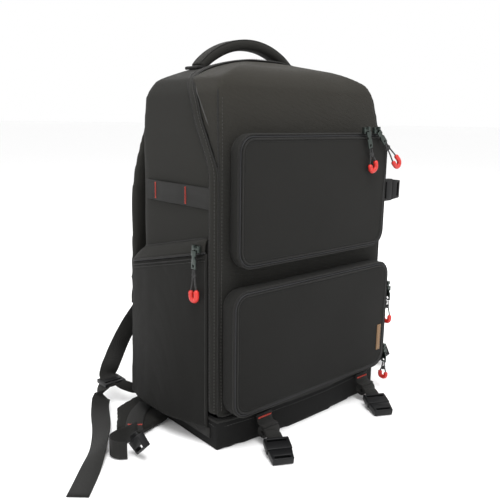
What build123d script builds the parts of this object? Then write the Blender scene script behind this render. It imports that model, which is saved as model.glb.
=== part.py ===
"""A soft backpack case for a drone and its camera gear, standing upright on its base.

X runs across the bag, -Y is the front with the two zipped pockets, +Z is up.
The origin is on the floor under the middle of the base.  Sizes are in millimetres.
"""

from build123d import *
from math import cos, radians, sin, tan
import os

# ---- overall sizes ----
WIDTH = 300.0
DEPTH = 176.0
HEIGHT = 474.0
HALF = WIDTH / 2
FRONT_Y = -DEPTH / 2
BACK_Y = DEPTH / 2
TOP_HALF_WIDTH = HALF - 13.0
SHOULDER_Z = HEIGHT - 44.0
SHOULDER_EDGE_Z = HEIGHT - 28.0
TAPER_START_Z = HEIGHT - 129.0
FRONT_LEAN = 18.0
REAR_LEAN = 3.0
PLAN_FRONT_RADIUS = 8.0
PLAN_REAR_RADIUS = 28.0
WALL = 4.0
BASE_HEIGHT = 42.0
BASE_BULGE = 12.0

# ---- clearances ----
SEAM_GAP = 1.0
SIDE_GAP = 0.8
FIT_GAP = 0.5

# ---- front opening ----
PANEL_RETURN = 6.0
HOOD_REACH = 95.0
HOOD_SEAM_Z = TAPER_START_Z + 40.0
ZIP_LINE = [(27.0, 100.0), (48.0, 72.0), (56.0, 52.0), (HOOD_REACH, 16.0)]

# ---- front pockets ----
UPPER_HALF_WIDTH = HALF - 18.0
UPPER_HIGH_Z = HOOD_SEAM_Z - 4.0
UPPER_LOW_Z = UPPER_HIGH_Z - 152.0
UPPER_DEPTH = 17.0
LOWER_HALF_WIDTH = HALF - 8.0
LOWER_LOW_Z = BASE_HEIGHT + 5.0
LOWER_HIGH_Z = UPPER_LOW_Z - 27.0
LOWER_DEPTH = 23.0
POCKET_RADIUS = 20.0
GUSSET_DEPTH = 9.0
POCKET_WALL = 2.5

# ---- side pockets ----
SIDE_POCKET_START = 16.0
SIDE_POCKET_END = DEPTH - 6.0
SIDE_POCKET_LOW_Z = 26.0
SIDE_POCKET_FRONT_Z = 250.0
SIDE_POCKET_REAR_Z = 209.0
SIDE_BULGE_LOW = 24.0
SIDE_BULGE_HIGH = 9.0
SIDE_ROOT = 3.0
REAR_SHARE = 0.7

# ---- carry handle ----
HANDLE_HALF_SPAN = 80.0
HANDLE_WIDTH = 22.0
HANDLE_THICKNESS = 12.0
HANDLE_RISE = 32.0
HANDLE_Y = BACK_Y - 46.0
HANDLE_PIVOT_Z = HEIGHT - 8.0
HANDLE_FOOT_Z = HANDLE_PIVOT_Z + 6.0
HANDLE_RADIUS = (HANDLE_HALF_SPAN ** 2 + HANDLE_RISE ** 2) / (2 * HANDLE_RISE)
HANDLE_CROWN_Z = HANDLE_PIVOT_Z - 1 + HANDLE_RISE
ANCHOR_TAB_REACH = 22.0
ANCHOR_TAB_START = 9.0
ANCHOR_TAB_MARGIN = 4.0
ANCHOR_TAB_DROP = 26.0

# ---- webbing and buckles ----
WEB_WIDTH = 25.0
WEB_THICKNESS = 1.6
SIDE_BAND_Z = TAPER_START_Z - 36.0
LASH_X = (-86.0, 106.0)
LASH_ROLL_RADIUS = 8.0
LASH_ROLL_AHEAD = 3.0
LASH_ROLL_Z = 17.0
BUCKLE_WIDTH = 32.0
BUCKLE_THICKNESS = 9.0
BUCKLE_BODY = 20.0
BUCKLE_HEAD = 18.0

# ---- inside ----
DIVIDER_THICKNESS = 8.0
DIVIDER_HALF_WIDTH = HALF - 18.0
DIVIDER_SHELVES = (0.414 * HEIGHT, 0.68 * HEIGHT)
LAPTOP_SHEET = 3.0
LAPTOP_BAY = 24.0
SHEET_HALF_WIDTH = HALF - 32.0
SHEET_TOP_Z = HEIGHT - 78.0
FRAME_SHEET = 2.0

# ---- zip pulls ----
CORD_DIAMETER = 2.0
CORD_BORE_CLEARANCE = 0.2
SLEEVE_DIAMETER = 6.4
SLIDER_LENGTH = 12.0
SLIDER_WIDTH = 8.0
SLIDER_HEIGHT = 4.5
PULLER_LENGTH = 22.0
PULLER_WIDTH = 8.0
PULLER_THICKNESS = 1.8
PULLER_HOLE = 3.6
PIVOT_GAP = 0.8
PIVOT_BACK = 1.5

# ---- back pads and shoulder straps ----
PAD_THICKNESS = 12.0
PAD_HALF_WIDTH = 40.0
PAD_CENTRE_X = 62.0
PAD_Z = (150.0, HEIGHT - 74.0)
LUMBAR_HALF_WIDTH = 112.0
LUMBAR_Z = (24.0, 130.0)
STRAP_THICKNESS = 12.0
STRAP_GAP = 3.0
STRAP_FACE_Y = BACK_Y + PAD_THICKNESS + STRAP_GAP
STRAP_BEND_Z = 250.0
STERNUM_Z = (STRAP_BEND_Z + HEIGHT - 70) / 2 - 9
STERNUM_HALF_WIDTH = 118.0
STERNUM_WIDTH = 20.0
CLIP_HALF_LENGTH = 22.0
LOOP_HALF_LENGTH = 3.0

# ---- ladder locks and their webbing ----
LOCK_CENTRE = (-HALF - 32.0, BACK_Y + 30.0, 30.0)
LOCK_HALF_WIDTH = 16.0
LOCK_HALF_LENGTH = 13.0
LOCK_HALF_THICKNESS = 3.0
LOCK_SLOT_OFFSET = 6.0
LOCK_SLOT_HALF = 1.8
ANCHOR_WIDTH = 14.0
ANCHOR_Z = 18.5
TAIL_FLOOR_Z = 1.1

# ---- lash buckles and the side buckle ----
LASH_TILT = 12.0
LASH_TURN = 28.0
LASH_TOP_Z = 37.0
SIDE_BUCKLE_Y = FRONT_Y + PANEL_RETURN + 4
SIDE_BUCKLE_Z = SIDE_BAND_Z - 9.0
SIDE_TAB = 10.0

# ---- leather tag ----
TAG_WIDTH = 8.0
TAG_THICKNESS = 1.2
TAG_Z = (72.0, 110.0)

# ---- hip belt, in plan, with x measured out from the side of the bag ----
HIP_THICKNESS = 9.0
HIP_FLOOR = 0.3
HIP_WEB_WIDTH = 24.0
HIP_PLAN = [(2, 14), (59, -3), (76, 28), (46, 80), (2, 96)]
HIP_WEB_ROUTE = [(65, -3), (88, -2), (101, -7), (106, -18), (102, -29), (93, -36)]
HIP_BUCKLE_OUT = 83.0

# ---- zip pulls on the bag ----
PULL_OFF = 6.8
PULL_SIDE_OFF = 12.5
PULL_MOUTH_OFF = 10.2
UPPER_TOP = (FRONT_Y - UPPER_DEPTH - PULL_OFF, UPPER_HIGH_Z + 4.4)
LOWER_SIDE = (LOWER_HALF_WIDTH + PULL_SIDE_OFF, FRONT_Y - LOWER_DEPTH / 2 - 5)
SIDE_MOUTH_X = HALF + SIDE_GAP + SIDE_ROOT + PULL_MOUTH_OFF
SIDE_SLOPE = (SIDE_POCKET_REAR_Z - SIDE_POCKET_FRONT_Z) / DEPTH
SIDE_SLIDER_BACK = 28.0
SIDE_SLIDER_Y = FRONT_Y + SIDE_SLIDER_BACK
SIDE_SLIDER_Z = SIDE_POCKET_FRONT_Z + SIDE_SLOPE * SIDE_SLIDER_BACK + 6

FAR = 600.0


def box(x, y, z):
    """A block between the low and high values of each axis."""
    size = (x[1] - x[0], y[1] - y[0], z[1] - z[0])
    middle = ((x[0] + x[1]) / 2, (y[0] + y[1]) / 2, (z[0] + z[1]) / 2)
    return Pos(*middle) * Box(*size)


def rod(start, end, radius):
    """A round bar between two points."""
    path = Vector(*end) - Vector(*start)
    standing = (Align.CENTER, Align.CENTER, Align.MIN)
    return Plane(origin=start, z_dir=path) * Cylinder(radius, path.length, align=standing)


def carried(face, step):
    """The solid that a face sweeps as it moves by a step."""
    return Solid.extrude(face, Vector(*step))


def yz_prism(face_points, x):
    """A polygon of (y, z) points, carried along X between two values."""
    face = make_face(Plane.YZ * Polyline(*face_points, close=True))
    return Pos(x[0], 0, 0) * carried(face.face(), (x[1] - x[0], 0, 0))


def xy_prism(face_points, z):
    """A polygon of (x, y) points, carried up between two heights."""
    face = make_face(Polyline(*face_points, close=True))
    return Pos(0, 0, z[0]) * carried(face.face(), (0, 0, z[1] - z[0]))


def rounded_slab(half_width, z, y, radius):
    """A slab facing the front, with rounded corners, from y[0] back to y[1]."""
    face = Plane.XZ * Pos(0, (z[0] + z[1]) / 2) * RectangleRounded(2 * half_width, z[1] - z[0], radius)
    return Pos(0, y[0], 0) * carried(face.face(), (0, y[1] - y[0], 0))


def mirrored(solid):
    """The same piece on the other side of the bag."""
    return solid.mirror(Plane.YZ)


# ---------------------------------------------------------------- the bag's outer form

def front_outline(inset):
    """The form seen from the front: straight sides, a taper, and an arched top."""
    half = HALF - inset
    top_half = TOP_HALF_WIDTH - inset
    edge = (top_half - 9.0, SHOULDER_EDGE_Z - inset)
    with BuildSketch(Plane.XZ) as outline:
        with BuildLine():
            Polyline(
                (-edge[0], edge[1]), (-top_half, SHOULDER_Z - inset), (-half, TAPER_START_Z), (-half, -FAR),
                (half, -FAR), (half, TAPER_START_Z), (top_half, SHOULDER_Z - inset), edge,
            )
            ThreePointArc(edge, (0, HEIGHT - inset), (-edge[0], edge[1]))
        make_face()
    return outline.sketch.face()


def side_outline(inset):
    """The form seen from the side: a front that leans back at the top, and a round rear shoulder."""
    front = FRONT_Y + inset
    back = BACK_Y - inset
    lean = front + FRONT_LEAN
    top = HEIGHT - inset
    brow = top - 37
    with BuildSketch(Plane.YZ) as outline:
        with BuildLine():
            Polyline((front, -FAR), (front, TAPER_START_Z), (lean, brow))
            ThreePointArc((lean, brow), (lean + 12, brow + 17), (lean + 34, top - 10))
            Line((lean + 34, top - 10), (FRONT_Y + HOOD_REACH, top))
            Line((FRONT_Y + HOOD_REACH, top), (back - 52, top - 6))
            ThreePointArc((back - 52, top - 6), (back - 17, top - 24), (back - REAR_LEAN, top - 62))
            Polyline((back - REAR_LEAN, top - 62), (back, TAPER_START_Z), (back, -FAR), (front, -FAR))
        make_face()
    return outline.sketch.face()


def plan_outline(inset):
    """The form seen from above, with tight front corners and round rear ones."""
    with BuildSketch() as outline:
        Rectangle(WIDTH - 2 * inset, DEPTH - 2 * inset)
        fronts = outline.vertices().group_by(Axis.Y)[0]
        fillet(fronts, PLAN_FRONT_RADIUS - inset)
        backs = outline.vertices().group_by(Axis.Y)[-1]
        fillet(backs, PLAN_REAR_RADIUS - inset)
    return outline.sketch.face()


def envelope(inset, low_z):
    """The bag's outer form, or its lining when inset by the wall, above a height."""
    across = Pos(0, -FAR, 0) * carried(front_outline(inset), (0, 2 * FAR, 0))
    along = Pos(-FAR, 0, 0) * carried(side_outline(inset), (2 * FAR, 0, 0))
    up = Pos(0, 0, low_z) * carried(plan_outline(inset), (0, 0, FAR))
    return across & along & up


def opening_region(gap):
    """Everything in front of the main zip line, seen from the side, moved forward by a gap."""
    seam = FRONT_Y + PANEL_RETURN - gap
    line = [(-FAR, BASE_HEIGHT + gap), (seam, BASE_HEIGHT + gap), (seam, TAPER_START_Z)]
    line += [(FRONT_Y + reach - gap, HEIGHT - drop) for reach, drop in ZIP_LINE]
    line += [(FRONT_Y + HOOD_REACH - gap, FAR), (-FAR, FAR)]
    return yz_prism(line, (-FAR, FAR))


def bag_wall():
    """The thin wall of the bag above its base, front and rear together."""
    return envelope(0, BASE_HEIGHT) - envelope(WALL, BASE_HEIGHT - 1)


# ---------------------------------------------------------------- fixed shell and base

def make_rear_shell(wall):
    """The back, both sides and the rear of the top, in one sewn shell."""
    return wall - opening_region(0)


def base_plan(inset):
    """The base seen from above, bowed forward between the lash straps."""
    front = FRONT_Y + inset
    side = HALF - inset
    back = BACK_Y - inset
    with BuildSketch() as outline:
        with BuildLine():
            ThreePointArc((-side, front), (0, front - BASE_BULGE), (side, front))
            Polyline((side, front), (side, back), (-side, back), (-side, front))
        make_face()
        fillet(outline.vertices().group_by(Axis.Y)[-1], PLAN_REAR_RADIUS - inset)
    return outline.sketch.face()


def make_base_tub():
    """The reinforced base, a shallow tub that the bag stands on."""
    outer = carried(base_plan(0), (0, 0, BASE_HEIGHT))
    inner = Pos(0, 0, WALL) * carried(base_plan(WALL), (0, 0, BASE_HEIGHT))
    return outer - inner


def sheet_back_y():
    """The back face of the frame sheet, clear of the wall where it leans in at the top."""
    return BACK_Y - WALL - REAR_LEAN - FIT_GAP


def make_frame_sheet():
    """The stiff sheet inside the back wall."""
    back = sheet_back_y()
    return box((-SHEET_HALF_WIDTH, SHEET_HALF_WIDTH), (back - FRAME_SHEET, back), (WALL, SHEET_TOP_Z))


def laptop_sheet_y():
    """The front face of the sheet that closes off the laptop bay."""
    return sheet_back_y() - FRAME_SHEET - LAPTOP_BAY - LAPTOP_SHEET


def make_laptop_divider():
    """The padded sheet between the laptop bay and the main bay."""
    front = laptop_sheet_y()
    return box((-SHEET_HALF_WIDTH, SHEET_HALF_WIDTH), (front, front + LAPTOP_SHEET), (WALL, SHEET_TOP_Z))


def divider_depth():
    """Where the padded dividers start and end, front to back."""
    return (FRONT_Y + WALL + DIVIDER_THICKNESS, laptop_sheet_y() - SIDE_GAP)


def make_divider_shelves():
    """Two padded shelves across the main bay."""
    shelves = []
    for height in DIVIDER_SHELVES:
        z = (height, height + DIVIDER_THICKNESS)
        shelves.append(box((-DIVIDER_HALF_WIDTH, DIVIDER_HALF_WIDTH), divider_depth(), z))
    return Compound(children=shelves)


def make_divider_wall():
    """One upright padded divider under the lower shelf."""
    x = (-DIVIDER_HALF_WIDTH / 4, -DIVIDER_HALF_WIDTH / 4 + DIVIDER_THICKNESS)
    return box(x, divider_depth(), (WALL, DIVIDER_SHELVES[0]))


def back_pad(centre, half_width, z, radius):
    """A foam pad on the back, with round corners."""
    y = (BACK_Y, BACK_Y + PAD_THICKNESS)
    return Pos(centre, 0, 0) * rounded_slab(half_width, z, y, radius)


def make_back_pads():
    """The two long pads that rest on the shoulder blades."""
    left = back_pad(-PAD_CENTRE_X, PAD_HALF_WIDTH, PAD_Z, POCKET_RADIUS)
    return Compound(children=[left, mirrored(left)])


def make_lumbar_pad():
    """The low pad that the hip belt comes out of."""
    return back_pad(0, LUMBAR_HALF_WIDTH, LUMBAR_Z, POCKET_RADIUS)


# ---------------------------------------------------------------- shoulder straps

def make_shoulder_strap():
    """The left padded shoulder strap: a curved band cut to the strap's face shape."""
    near = STRAP_FACE_Y
    top = HEIGHT - 48
    inner = [(BACK_Y + FIT_GAP, top), (near, top - 22), (near, STRAP_BEND_Z), (near + 8, 190), (near + 20, 132)]
    outer = [(y + STRAP_THICKNESS, z + dz) for (y, z), dz in zip(inner, (-2, 4, 2, 3, 3))]
    band = yz_prism(inner + outer[::-1], (-FAR, FAR))
    with BuildSketch(Plane.XZ) as face:
        with BuildLine():
            Line((-34, top + 14), (-94, top + 14))
            ThreePointArc((-94, top + 14), (-138, top - 86), (-146, 230))
            Line((-146, 230), (-142, 120))
            Line((-142, 120), (-108, 120))
            Line((-108, 120), (-92, 230))
            ThreePointArc((-92, 230), (-82, top - 96), (-34, top + 14))
        make_face()
    return band & (Pos(0, -FAR, 0) * carried(face.sketch.face(), (0, 2 * FAR, 0)))


def ribbon(stations, width, thickness):
    """Flat webbing through stations of (point, direction along, direction across)."""
    sections = []
    for point, along, across in stations:
        sections.append(Plane(origin=point, x_dir=across, z_dir=along) * Rectangle(width, thickness))
    return loft(sections, ruled=True)


def make_strap_webbing():
    """The webbing that runs from the shoulder strap out and down to the ladder lock."""
    start = STRAP_FACE_Y + 20 + STRAP_THICKNESS / 2
    lock_x, lock_y, lock_z = LOCK_CENTRE
    return ribbon(
        [
            ((-124, start + 1, 131), (0, 0.3, -1), (1, 0, 0)),
            ((-132, start + 16, 104), (-0.4, 0.4, -1), (1, -0.2, -0.3)),
            ((lock_x + 32, start + 18, 74), (-0.7, -0.1, -0.9), (0.8, -0.4, -0.6)),
            ((lock_x + 11, start + 6, 52), (-0.4, -0.6, -0.8), (0.8, -0.5, -0.1)),
            ((lock_x + 1, lock_y + LOCK_HALF_LENGTH + 1, lock_z + 6), (0, -1, -0.4), (1, 0, 0)),
        ],
        WEB_WIDTH, WEB_THICKNESS,
    )


def make_anchor_webbing():
    """The webbing that holds the ladder lock to the side of the base."""
    side = -HALF - WEB_THICKNESS / 2
    lock_end = LOCK_CENTRE[1] - LOCK_HALF_LENGTH - 1
    return ribbon(
        [
            ((side, BACK_Y - 48, ANCHOR_Z), (0, 1, 0), (0, 0, 1)),
            ((side - 0.4, BACK_Y - 2, ANCHOR_Z), (0, 1, 0), (0, 0, 1)),
            ((-HALF - 12, BACK_Y + 6, 22), (-0.9, 0.8, 0.3), (0.4, 0, 0.9)),
            ((LOCK_CENTRE[0] + 4, lock_end, LOCK_CENTRE[2]), (0, 1, 0), (1, 0, 0)),
        ],
        ANCHOR_WIDTH, WEB_THICKNESS,
    )


def make_strap_tail_left():
    """The loose end of the left webbing, down to the floor and forward along it."""
    x, y, z = LOCK_CENTRE
    return ribbon(
        [
            ((x - LOCK_HALF_WIDTH, y, z - 6), (-1, -0.3, -0.5), (0, 1, 0)),
            ((x - 32, y - 26, 9), (-0.7, -1, -0.5), (0.9, -0.6, 0.2)),
            ((x - 54, y - 72, 5), (-0.6, -1, -0.1), (0.8, -0.5, 0.3)),
            ((x - 80, y - 114, 6), (-0.6, -0.8, 0), (0.5, -0.35, 0.28)),
            ((x - 110, y - 150, TAIL_FLOOR_Z), (-0.6, -0.7, -0.1), (0.75, -0.65, 0)),
            ((x - 140, y - 184, TAIL_FLOOR_Z), (-0.65, -0.75, 0), (0.75, -0.65, 0)),
        ],
        WEB_WIDTH, WEB_THICKNESS,
    )


def make_strap_tail_right():
    """The loose end of the right webbing, lying behind the bag."""
    x, y, z = LOCK_CENTRE
    return ribbon(
        [
            ((LOCK_HALF_WIDTH - x, y, z - 6), (1, 0.3, -0.5), (0, 1, 0)),
            ((32 - x, y + 20, 10), (0.5, 1, -0.4), (-1, 0.5, 0)),
            ((32 - x, y + 54, TAIL_FLOOR_Z), (-0.3, 1, -0.1), (-1, -0.3, 0)),
            ((14 - x, y + 86, TAIL_FLOOR_Z), (-0.7, 0.7, 0), (-0.7, -0.7, 0)),
            ((-24 - x, y + 104, TAIL_FLOOR_Z), (-1, 0.2, 0), (-0.2, -1, 0)),
        ],
        WEB_WIDTH, WEB_THICKNESS,
    )


def make_ladder_lock():
    """The left ladder lock: a moulded frame with two cross bars and two slots."""
    frame = Box(2 * LOCK_HALF_WIDTH, 2 * LOCK_HALF_LENGTH, 2 * LOCK_HALF_THICKNESS)
    slot = Box(2 * LOCK_HALF_WIDTH - 6, 2 * LOCK_SLOT_HALF, 4 * LOCK_HALF_THICKNESS)
    for offset in (-LOCK_SLOT_OFFSET, LOCK_SLOT_OFFSET):
        frame = frame - Pos(0, offset, 0) * slot
    return Pos(*LOCK_CENTRE) * frame


def make_sternum_strap():
    """The chest strap between the shoulder straps, with its small buckle."""
    y = STRAP_FACE_Y + STRAP_THICKNESS + 5
    half = STERNUM_WIDTH / 2
    reach = STERNUM_HALF_WIDTH
    strap = box((-reach, reach), (y, y + WEB_THICKNESS), (STERNUM_Z - half, STERNUM_Z + half))
    clip_z = (STERNUM_Z - half - 3, STERNUM_Z + half + 3)
    strap = strap + box((-CLIP_HALF_LENGTH, CLIP_HALF_LENGTH), (y - 3, y + 6), clip_z)
    for side in (-reach, reach):
        x = (side - LOOP_HALF_LENGTH, side + LOOP_HALF_LENGTH)
        loop_z = (STERNUM_Z - half - 2, STERNUM_Z + half + 2)
        strap = strap + box(x, (y - 4.6, y + WEB_THICKNESS + 1), loop_z)
    return Compound(children=[strap.solid()])


# ---------------------------------------------------------------- side bands, tacks and lash points

def make_side_bands():
    """The flat lash band sewn across each side."""
    y = (FRONT_Y + PANEL_RETURN + 1, BACK_Y - PLAN_REAR_RADIUS)
    z = (SIDE_BAND_Z - WEB_WIDTH / 2, SIDE_BAND_Z + WEB_WIDTH / 2)
    left = box((-HALF - WEB_THICKNESS, -HALF), y, z)
    return Compound(children=[left, mirrored(left)])


def lash_face_y():
    """The furthest forward that the base comes, with room for a strap."""
    return FRONT_Y - BASE_BULGE - FIT_GAP


def make_lash_webbing():
    """Both lash straps: a sewn tab and the rolled webbing below it."""
    straps = []
    for x in LASH_X:
        front = lash_face_y()
        roll_y = front - LASH_ROLL_RADIUS - LASH_ROLL_AHEAD
        across = (x - WEB_WIDTH / 2, x + WEB_WIDTH / 2)
        tab = yz_prism(
            [
                (front, LASH_TOP_Z), (front, LASH_TOP_Z - WEB_WIDTH / 2 - 2), (roll_y, LASH_ROLL_Z),
                (roll_y, LASH_ROLL_Z + LASH_ROLL_RADIUS - 0.6), (front - WEB_THICKNESS, LASH_TOP_Z),
            ],
            across,
        )
        roll = rod((across[0], roll_y, LASH_ROLL_Z), (across[1], roll_y, LASH_ROLL_Z), LASH_ROLL_RADIUS)
        straps.append((tab + roll).solid())
    return Compound(children=straps)


def buckle_half(head):
    """A side-release buckle seen flat: its webbing end at the origin, its head along +X."""
    half = BUCKLE_WIDTH / 2
    thick = (-BUCKLE_THICKNESS / 2, BUCKLE_THICKNESS / 2)
    body = xy_prism([(0, -half), (BUCKLE_BODY, -half), (BUCKLE_BODY, half), (0, half)], thick)
    slot = box((3, 6.6), (-half + 3.5, half - 3.5), (-FAR, FAR))
    body = body - slot
    if head:
        mouth = box((BUCKLE_BODY - 6, FAR), (-half + 5, half - 5), (-1.9, 1.9))
        body = body - mouth
    return body


def buckle_tongue():
    """The part with prongs, seen flat: prongs along -X from its own body at the origin."""
    half = BUCKLE_WIDTH / 2
    thick = (-BUCKLE_THICKNESS / 2, BUCKLE_THICKNESS / 2)
    outline = [(0.6, -half + 1), (BUCKLE_HEAD, -half + 3), (BUCKLE_HEAD, half - 3), (0.6, half - 1)]
    body = xy_prism(outline, thick)
    prong = box((-5, 2), (-half + 6, half - 6), (-1.5, 1.5))
    slot = box((BUCKLE_HEAD - 6.6, BUCKLE_HEAD - 3), (-half + 6, half - 6), (-FAR, FAR))
    return body + prong - slot


def lash_stand(x):
    """Where a lash buckle hangs: from its roll forward, down, and a little to the left."""
    roll_y = lash_face_y() - LASH_ROLL_RADIUS - LASH_ROLL_AHEAD
    pivot = (x - 6, roll_y - LASH_ROLL_RADIUS - BUCKLE_WIDTH / 4 - 2, LASH_ROLL_Z - 4)
    flat = Vector(-sin(radians(LASH_TURN)), -cos(radians(LASH_TURN)), 0)
    down = flat * cos(radians(LASH_TILT)) - Vector(0, 0, sin(radians(LASH_TILT)))
    up = flat * sin(radians(LASH_TILT)) + Vector(0, 0, cos(radians(LASH_TILT)))
    return Plane(origin=pivot, x_dir=down, z_dir=up)


def make_lash_buckle(x):
    """A lash buckle, both halves clicked together, lying forward with its head near the floor."""
    stand = lash_stand(x)
    return Compound(children=[stand * buckle_half(True), stand * (Pos(BUCKLE_BODY, 0, 0) * buckle_tongue())])


def side_buckle_stand():
    """Where the right-hand buckle stands out from the side of the bag."""
    origin = (HALF + SIDE_TAB, SIDE_BUCKLE_Y, SIDE_BUCKLE_Z)
    return Plane(origin=origin, x_dir=(1, 0, 0), z_dir=(0, -1, 0))


def make_side_tab():
    """The short webbing that holds the right-hand buckle to the side."""
    y = (SIDE_BUCKLE_Y - WEB_THICKNESS / 2, SIDE_BUCKLE_Y + WEB_THICKNESS / 2)
    z = (SIDE_BUCKLE_Z - WEB_WIDTH / 2 + 1, SIDE_BUCKLE_Z - 1 + WEB_WIDTH / 2)
    return (box((HALF, HALF + SIDE_TAB - FIT_GAP), y, z) - make_side_bands()).solid()


def make_side_buckle_socket():
    """The fixed half of the right-hand buckle."""
    return side_buckle_stand() * buckle_half(True)


def make_side_buckle_tongue():
    """The loose half of the right-hand buckle, pushed home."""
    return side_buckle_stand() * (Pos(BUCKLE_BODY, 0, 0) * buckle_tongue())


# ---------------------------------------------------------------- front panel and pockets

def make_front_panel(wall):
    """The front wall below the hood seam."""
    return (wall & opening_region(SEAM_GAP)) & box((-FAR, FAR), (-FAR, FAR), (0, HOOD_SEAM_Z))


def make_hood(wall):
    """The top of the opening part, which reaches back to the handle."""
    return (wall & opening_region(SEAM_GAP)) & box((-FAR, FAR), (-FAR, FAR), (HOOD_SEAM_Z, FAR))


def pocket_gusset(half_width, z):
    """The ring of side wall that a front pocket stands on, sewn to the front wall."""
    y = (FRONT_Y - GUSSET_DEPTH, FRONT_Y)
    outer = rounded_slab(half_width, z, y, POCKET_RADIUS)
    inner_z = (z[0] + POCKET_WALL, z[1] - POCKET_WALL)
    inner = rounded_slab(half_width - POCKET_WALL, inner_z, (y[0] - 1, y[1] + 1), POCKET_RADIUS - POCKET_WALL)
    return outer - inner


def pocket_lid(half_width, z, depth):
    """The outer panel of a front pocket, with its own shallow rim."""
    y = (FRONT_Y - depth, FRONT_Y - GUSSET_DEPTH - SIDE_GAP)
    outer = rounded_slab(half_width, z, y, POCKET_RADIUS)
    inner_z = (z[0] + POCKET_WALL, z[1] - POCKET_WALL)
    inner_y = (y[0] + POCKET_WALL, y[1] + 1)
    inner = rounded_slab(half_width - POCKET_WALL, inner_z, inner_y, POCKET_RADIUS - POCKET_WALL)
    return outer - inner


def make_leather_tag():
    """The small blank leather tab at the edge of the lower pocket."""
    y = FRONT_Y - LOWER_DEPTH
    x = LOWER_HALF_WIDTH - POCKET_RADIUS / 2
    return box((x - TAG_WIDTH, x), (y - TAG_THICKNESS, y), TAG_Z)


def side_pocket_section(z, bulge, inset):
    """One level of the left side pocket: flat against the bag, bowed outwards."""
    inner = -HALF - SIDE_GAP
    front = FRONT_Y + SIDE_POCKET_START + inset
    rear = FRONT_Y + SIDE_POCKET_END - inset
    edge = inner - SIDE_ROOT + inset
    rear_edge = edge - bulge * REAR_SHARE
    with BuildSketch(Plane.XY.offset(z)) as section:
        with BuildLine():
            ThreePointArc((edge, front), (edge - bulge, (front + rear) / 2 + 14), (rear_edge, rear))
            Polyline((rear_edge, rear), (inner, rear), (inner, front), (edge, front))
        make_face()
    return section.sketch.face()


def make_side_pocket():
    """The left side pocket, open at the top under its slanted zip."""
    high = SIDE_POCKET_FRONT_Z + 10
    outer = loft([side_pocket_section(SIDE_POCKET_LOW_Z, SIDE_BULGE_LOW, 0),
                  side_pocket_section(high, SIDE_BULGE_HIGH, 0)], ruled=True)
    inner_low = SIDE_POCKET_LOW_Z + POCKET_WALL
    inner = loft([side_pocket_section(inner_low, SIDE_BULGE_LOW, POCKET_WALL),
                  side_pocket_section(high + 1, SIDE_BULGE_HIGH, POCKET_WALL)], ruled=True)
    mouth = yz_prism(
        [
            (FRONT_Y, SIDE_POCKET_FRONT_Z), (BACK_Y, SIDE_POCKET_REAR_Z), (BACK_Y, FAR), (FRONT_Y, FAR),
        ],
        (-FAR, 0),
    )
    return (outer - inner - mouth).solid()


def make_handle():
    """The padded grab handle, an arch over the top of the bag."""
    ring = Circle(HANDLE_RADIUS + HANDLE_THICKNESS / 2) - Circle(HANDLE_RADIUS - HANDLE_THICKNESS / 2)
    slab = Plane.XZ * Pos(0, HANDLE_CROWN_Z - HANDLE_RADIUS) * ring
    arch = Pos(0, HANDLE_Y - HANDLE_WIDTH / 2, 0) * carried(slab.face(), (0, HANDLE_WIDTH, 0))
    return arch & box((-FAR, FAR), (-FAR, FAR), (HANDLE_FOOT_Z, FAR))


def handle_foot_x():
    """The middle of the handle's foot, where the arch is cut."""
    return (HANDLE_RADIUS ** 2 - (HANDLE_FOOT_Z - HANDLE_CROWN_Z + HANDLE_RADIUS) ** 2) ** 0.5


def make_handle_anchors():
    """The two sewn tabs on top of the bag that hold the handle's feet."""
    x = handle_foot_x()
    reach = HANDLE_WIDTH / 2 + ANCHOR_TAB_MARGIN
    z = (HANDLE_PIVOT_Z - ANCHOR_TAB_DROP, HANDLE_PIVOT_Z - 1.4)
    block = box((x - ANCHOR_TAB_START, x + ANCHOR_TAB_REACH), (HANDLE_Y - reach, HANDLE_Y + reach), z)
    tab = block - envelope(0, BASE_HEIGHT)
    return Compound(children=[tab.solid(), mirrored(tab.solid())])


# ---------------------------------------------------------------- hip belt

def standing_band(route, z):
    """Webbing standing on its edge along a route of (x, y) points."""
    here = [Vector(*point) for point in route]
    ahead = here[1:] + [here[-1] * 2 - here[-2]]
    behind = [here[0] * 2 - here[1]] + here[:-1]
    shifted = []
    for point, after, before in zip(here, ahead, behind):
        along = (after - before).normalized()
        shifted.append(point + Vector(-along.Y, along.X) * WEB_THICKNESS)
    outline = route + [(point.X, point.Y) for point in reversed(shifted)]
    return xy_prism(outline, z)


def make_hip_wing():
    """The left hip belt wing, folded forward on the floor, and the webbing sewn to its tip."""
    plan = [(-HALF - x, y) for x, y in HIP_PLAN]
    route = [(-HALF - x, y) for x, y in HIP_WEB_ROUTE]
    pad = xy_prism(plan, (HIP_FLOOR, HIP_FLOOR + HIP_THICKNESS))
    web = standing_band(route, (HIP_FLOOR, HIP_FLOOR + HIP_WEB_WIDTH))
    return [pad, web]


def make_hip_buckle(head):
    """The left half of the waist buckle, leaning with its end on the floor."""
    flat = buckle_half(True) if head else buckle_tongue()
    end = (-HALF - HIP_BUCKLE_OUT, -35, 26)
    stand = Plane(origin=end, x_dir=(0.25, -0.7, -0.75), z_dir=(0.95, 0.15, 0.18))
    return stand * flat


# ---------------------------------------------------------------- zip pulls

def cord_radii(points):
    """The arc at each corner of a cord's route: as large as its two runs allow."""
    vectors = [Vector(*p) for p in points]
    radii = []
    for before, here, after in zip(vectors, vectors[1:], vectors[2:]):
        turn = (here - before).get_angle(after - here)
        run = min((here - before).length, (after - here).length)
        radii.append(0.45 * run / tan(radians(turn) / 2))
    return radii


def tube(points, diameter):
    """A round cord of one diameter along a route of runs and arcs."""
    path = FilletPolyline(*points, radius=cord_radii(points))
    start = Plane(origin=path @ 0, z_dir=path % 0)
    return sweep(start * Circle(diameter / 2), path=path)


FACES = {
    "front": ((1, 0, 0), (0, -1, 0)),
    "right": ((0, 1, 0), (1, 0, 0)),
    "left": ((0, -1, 0), (-1, 0, 0)),
}


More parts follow.
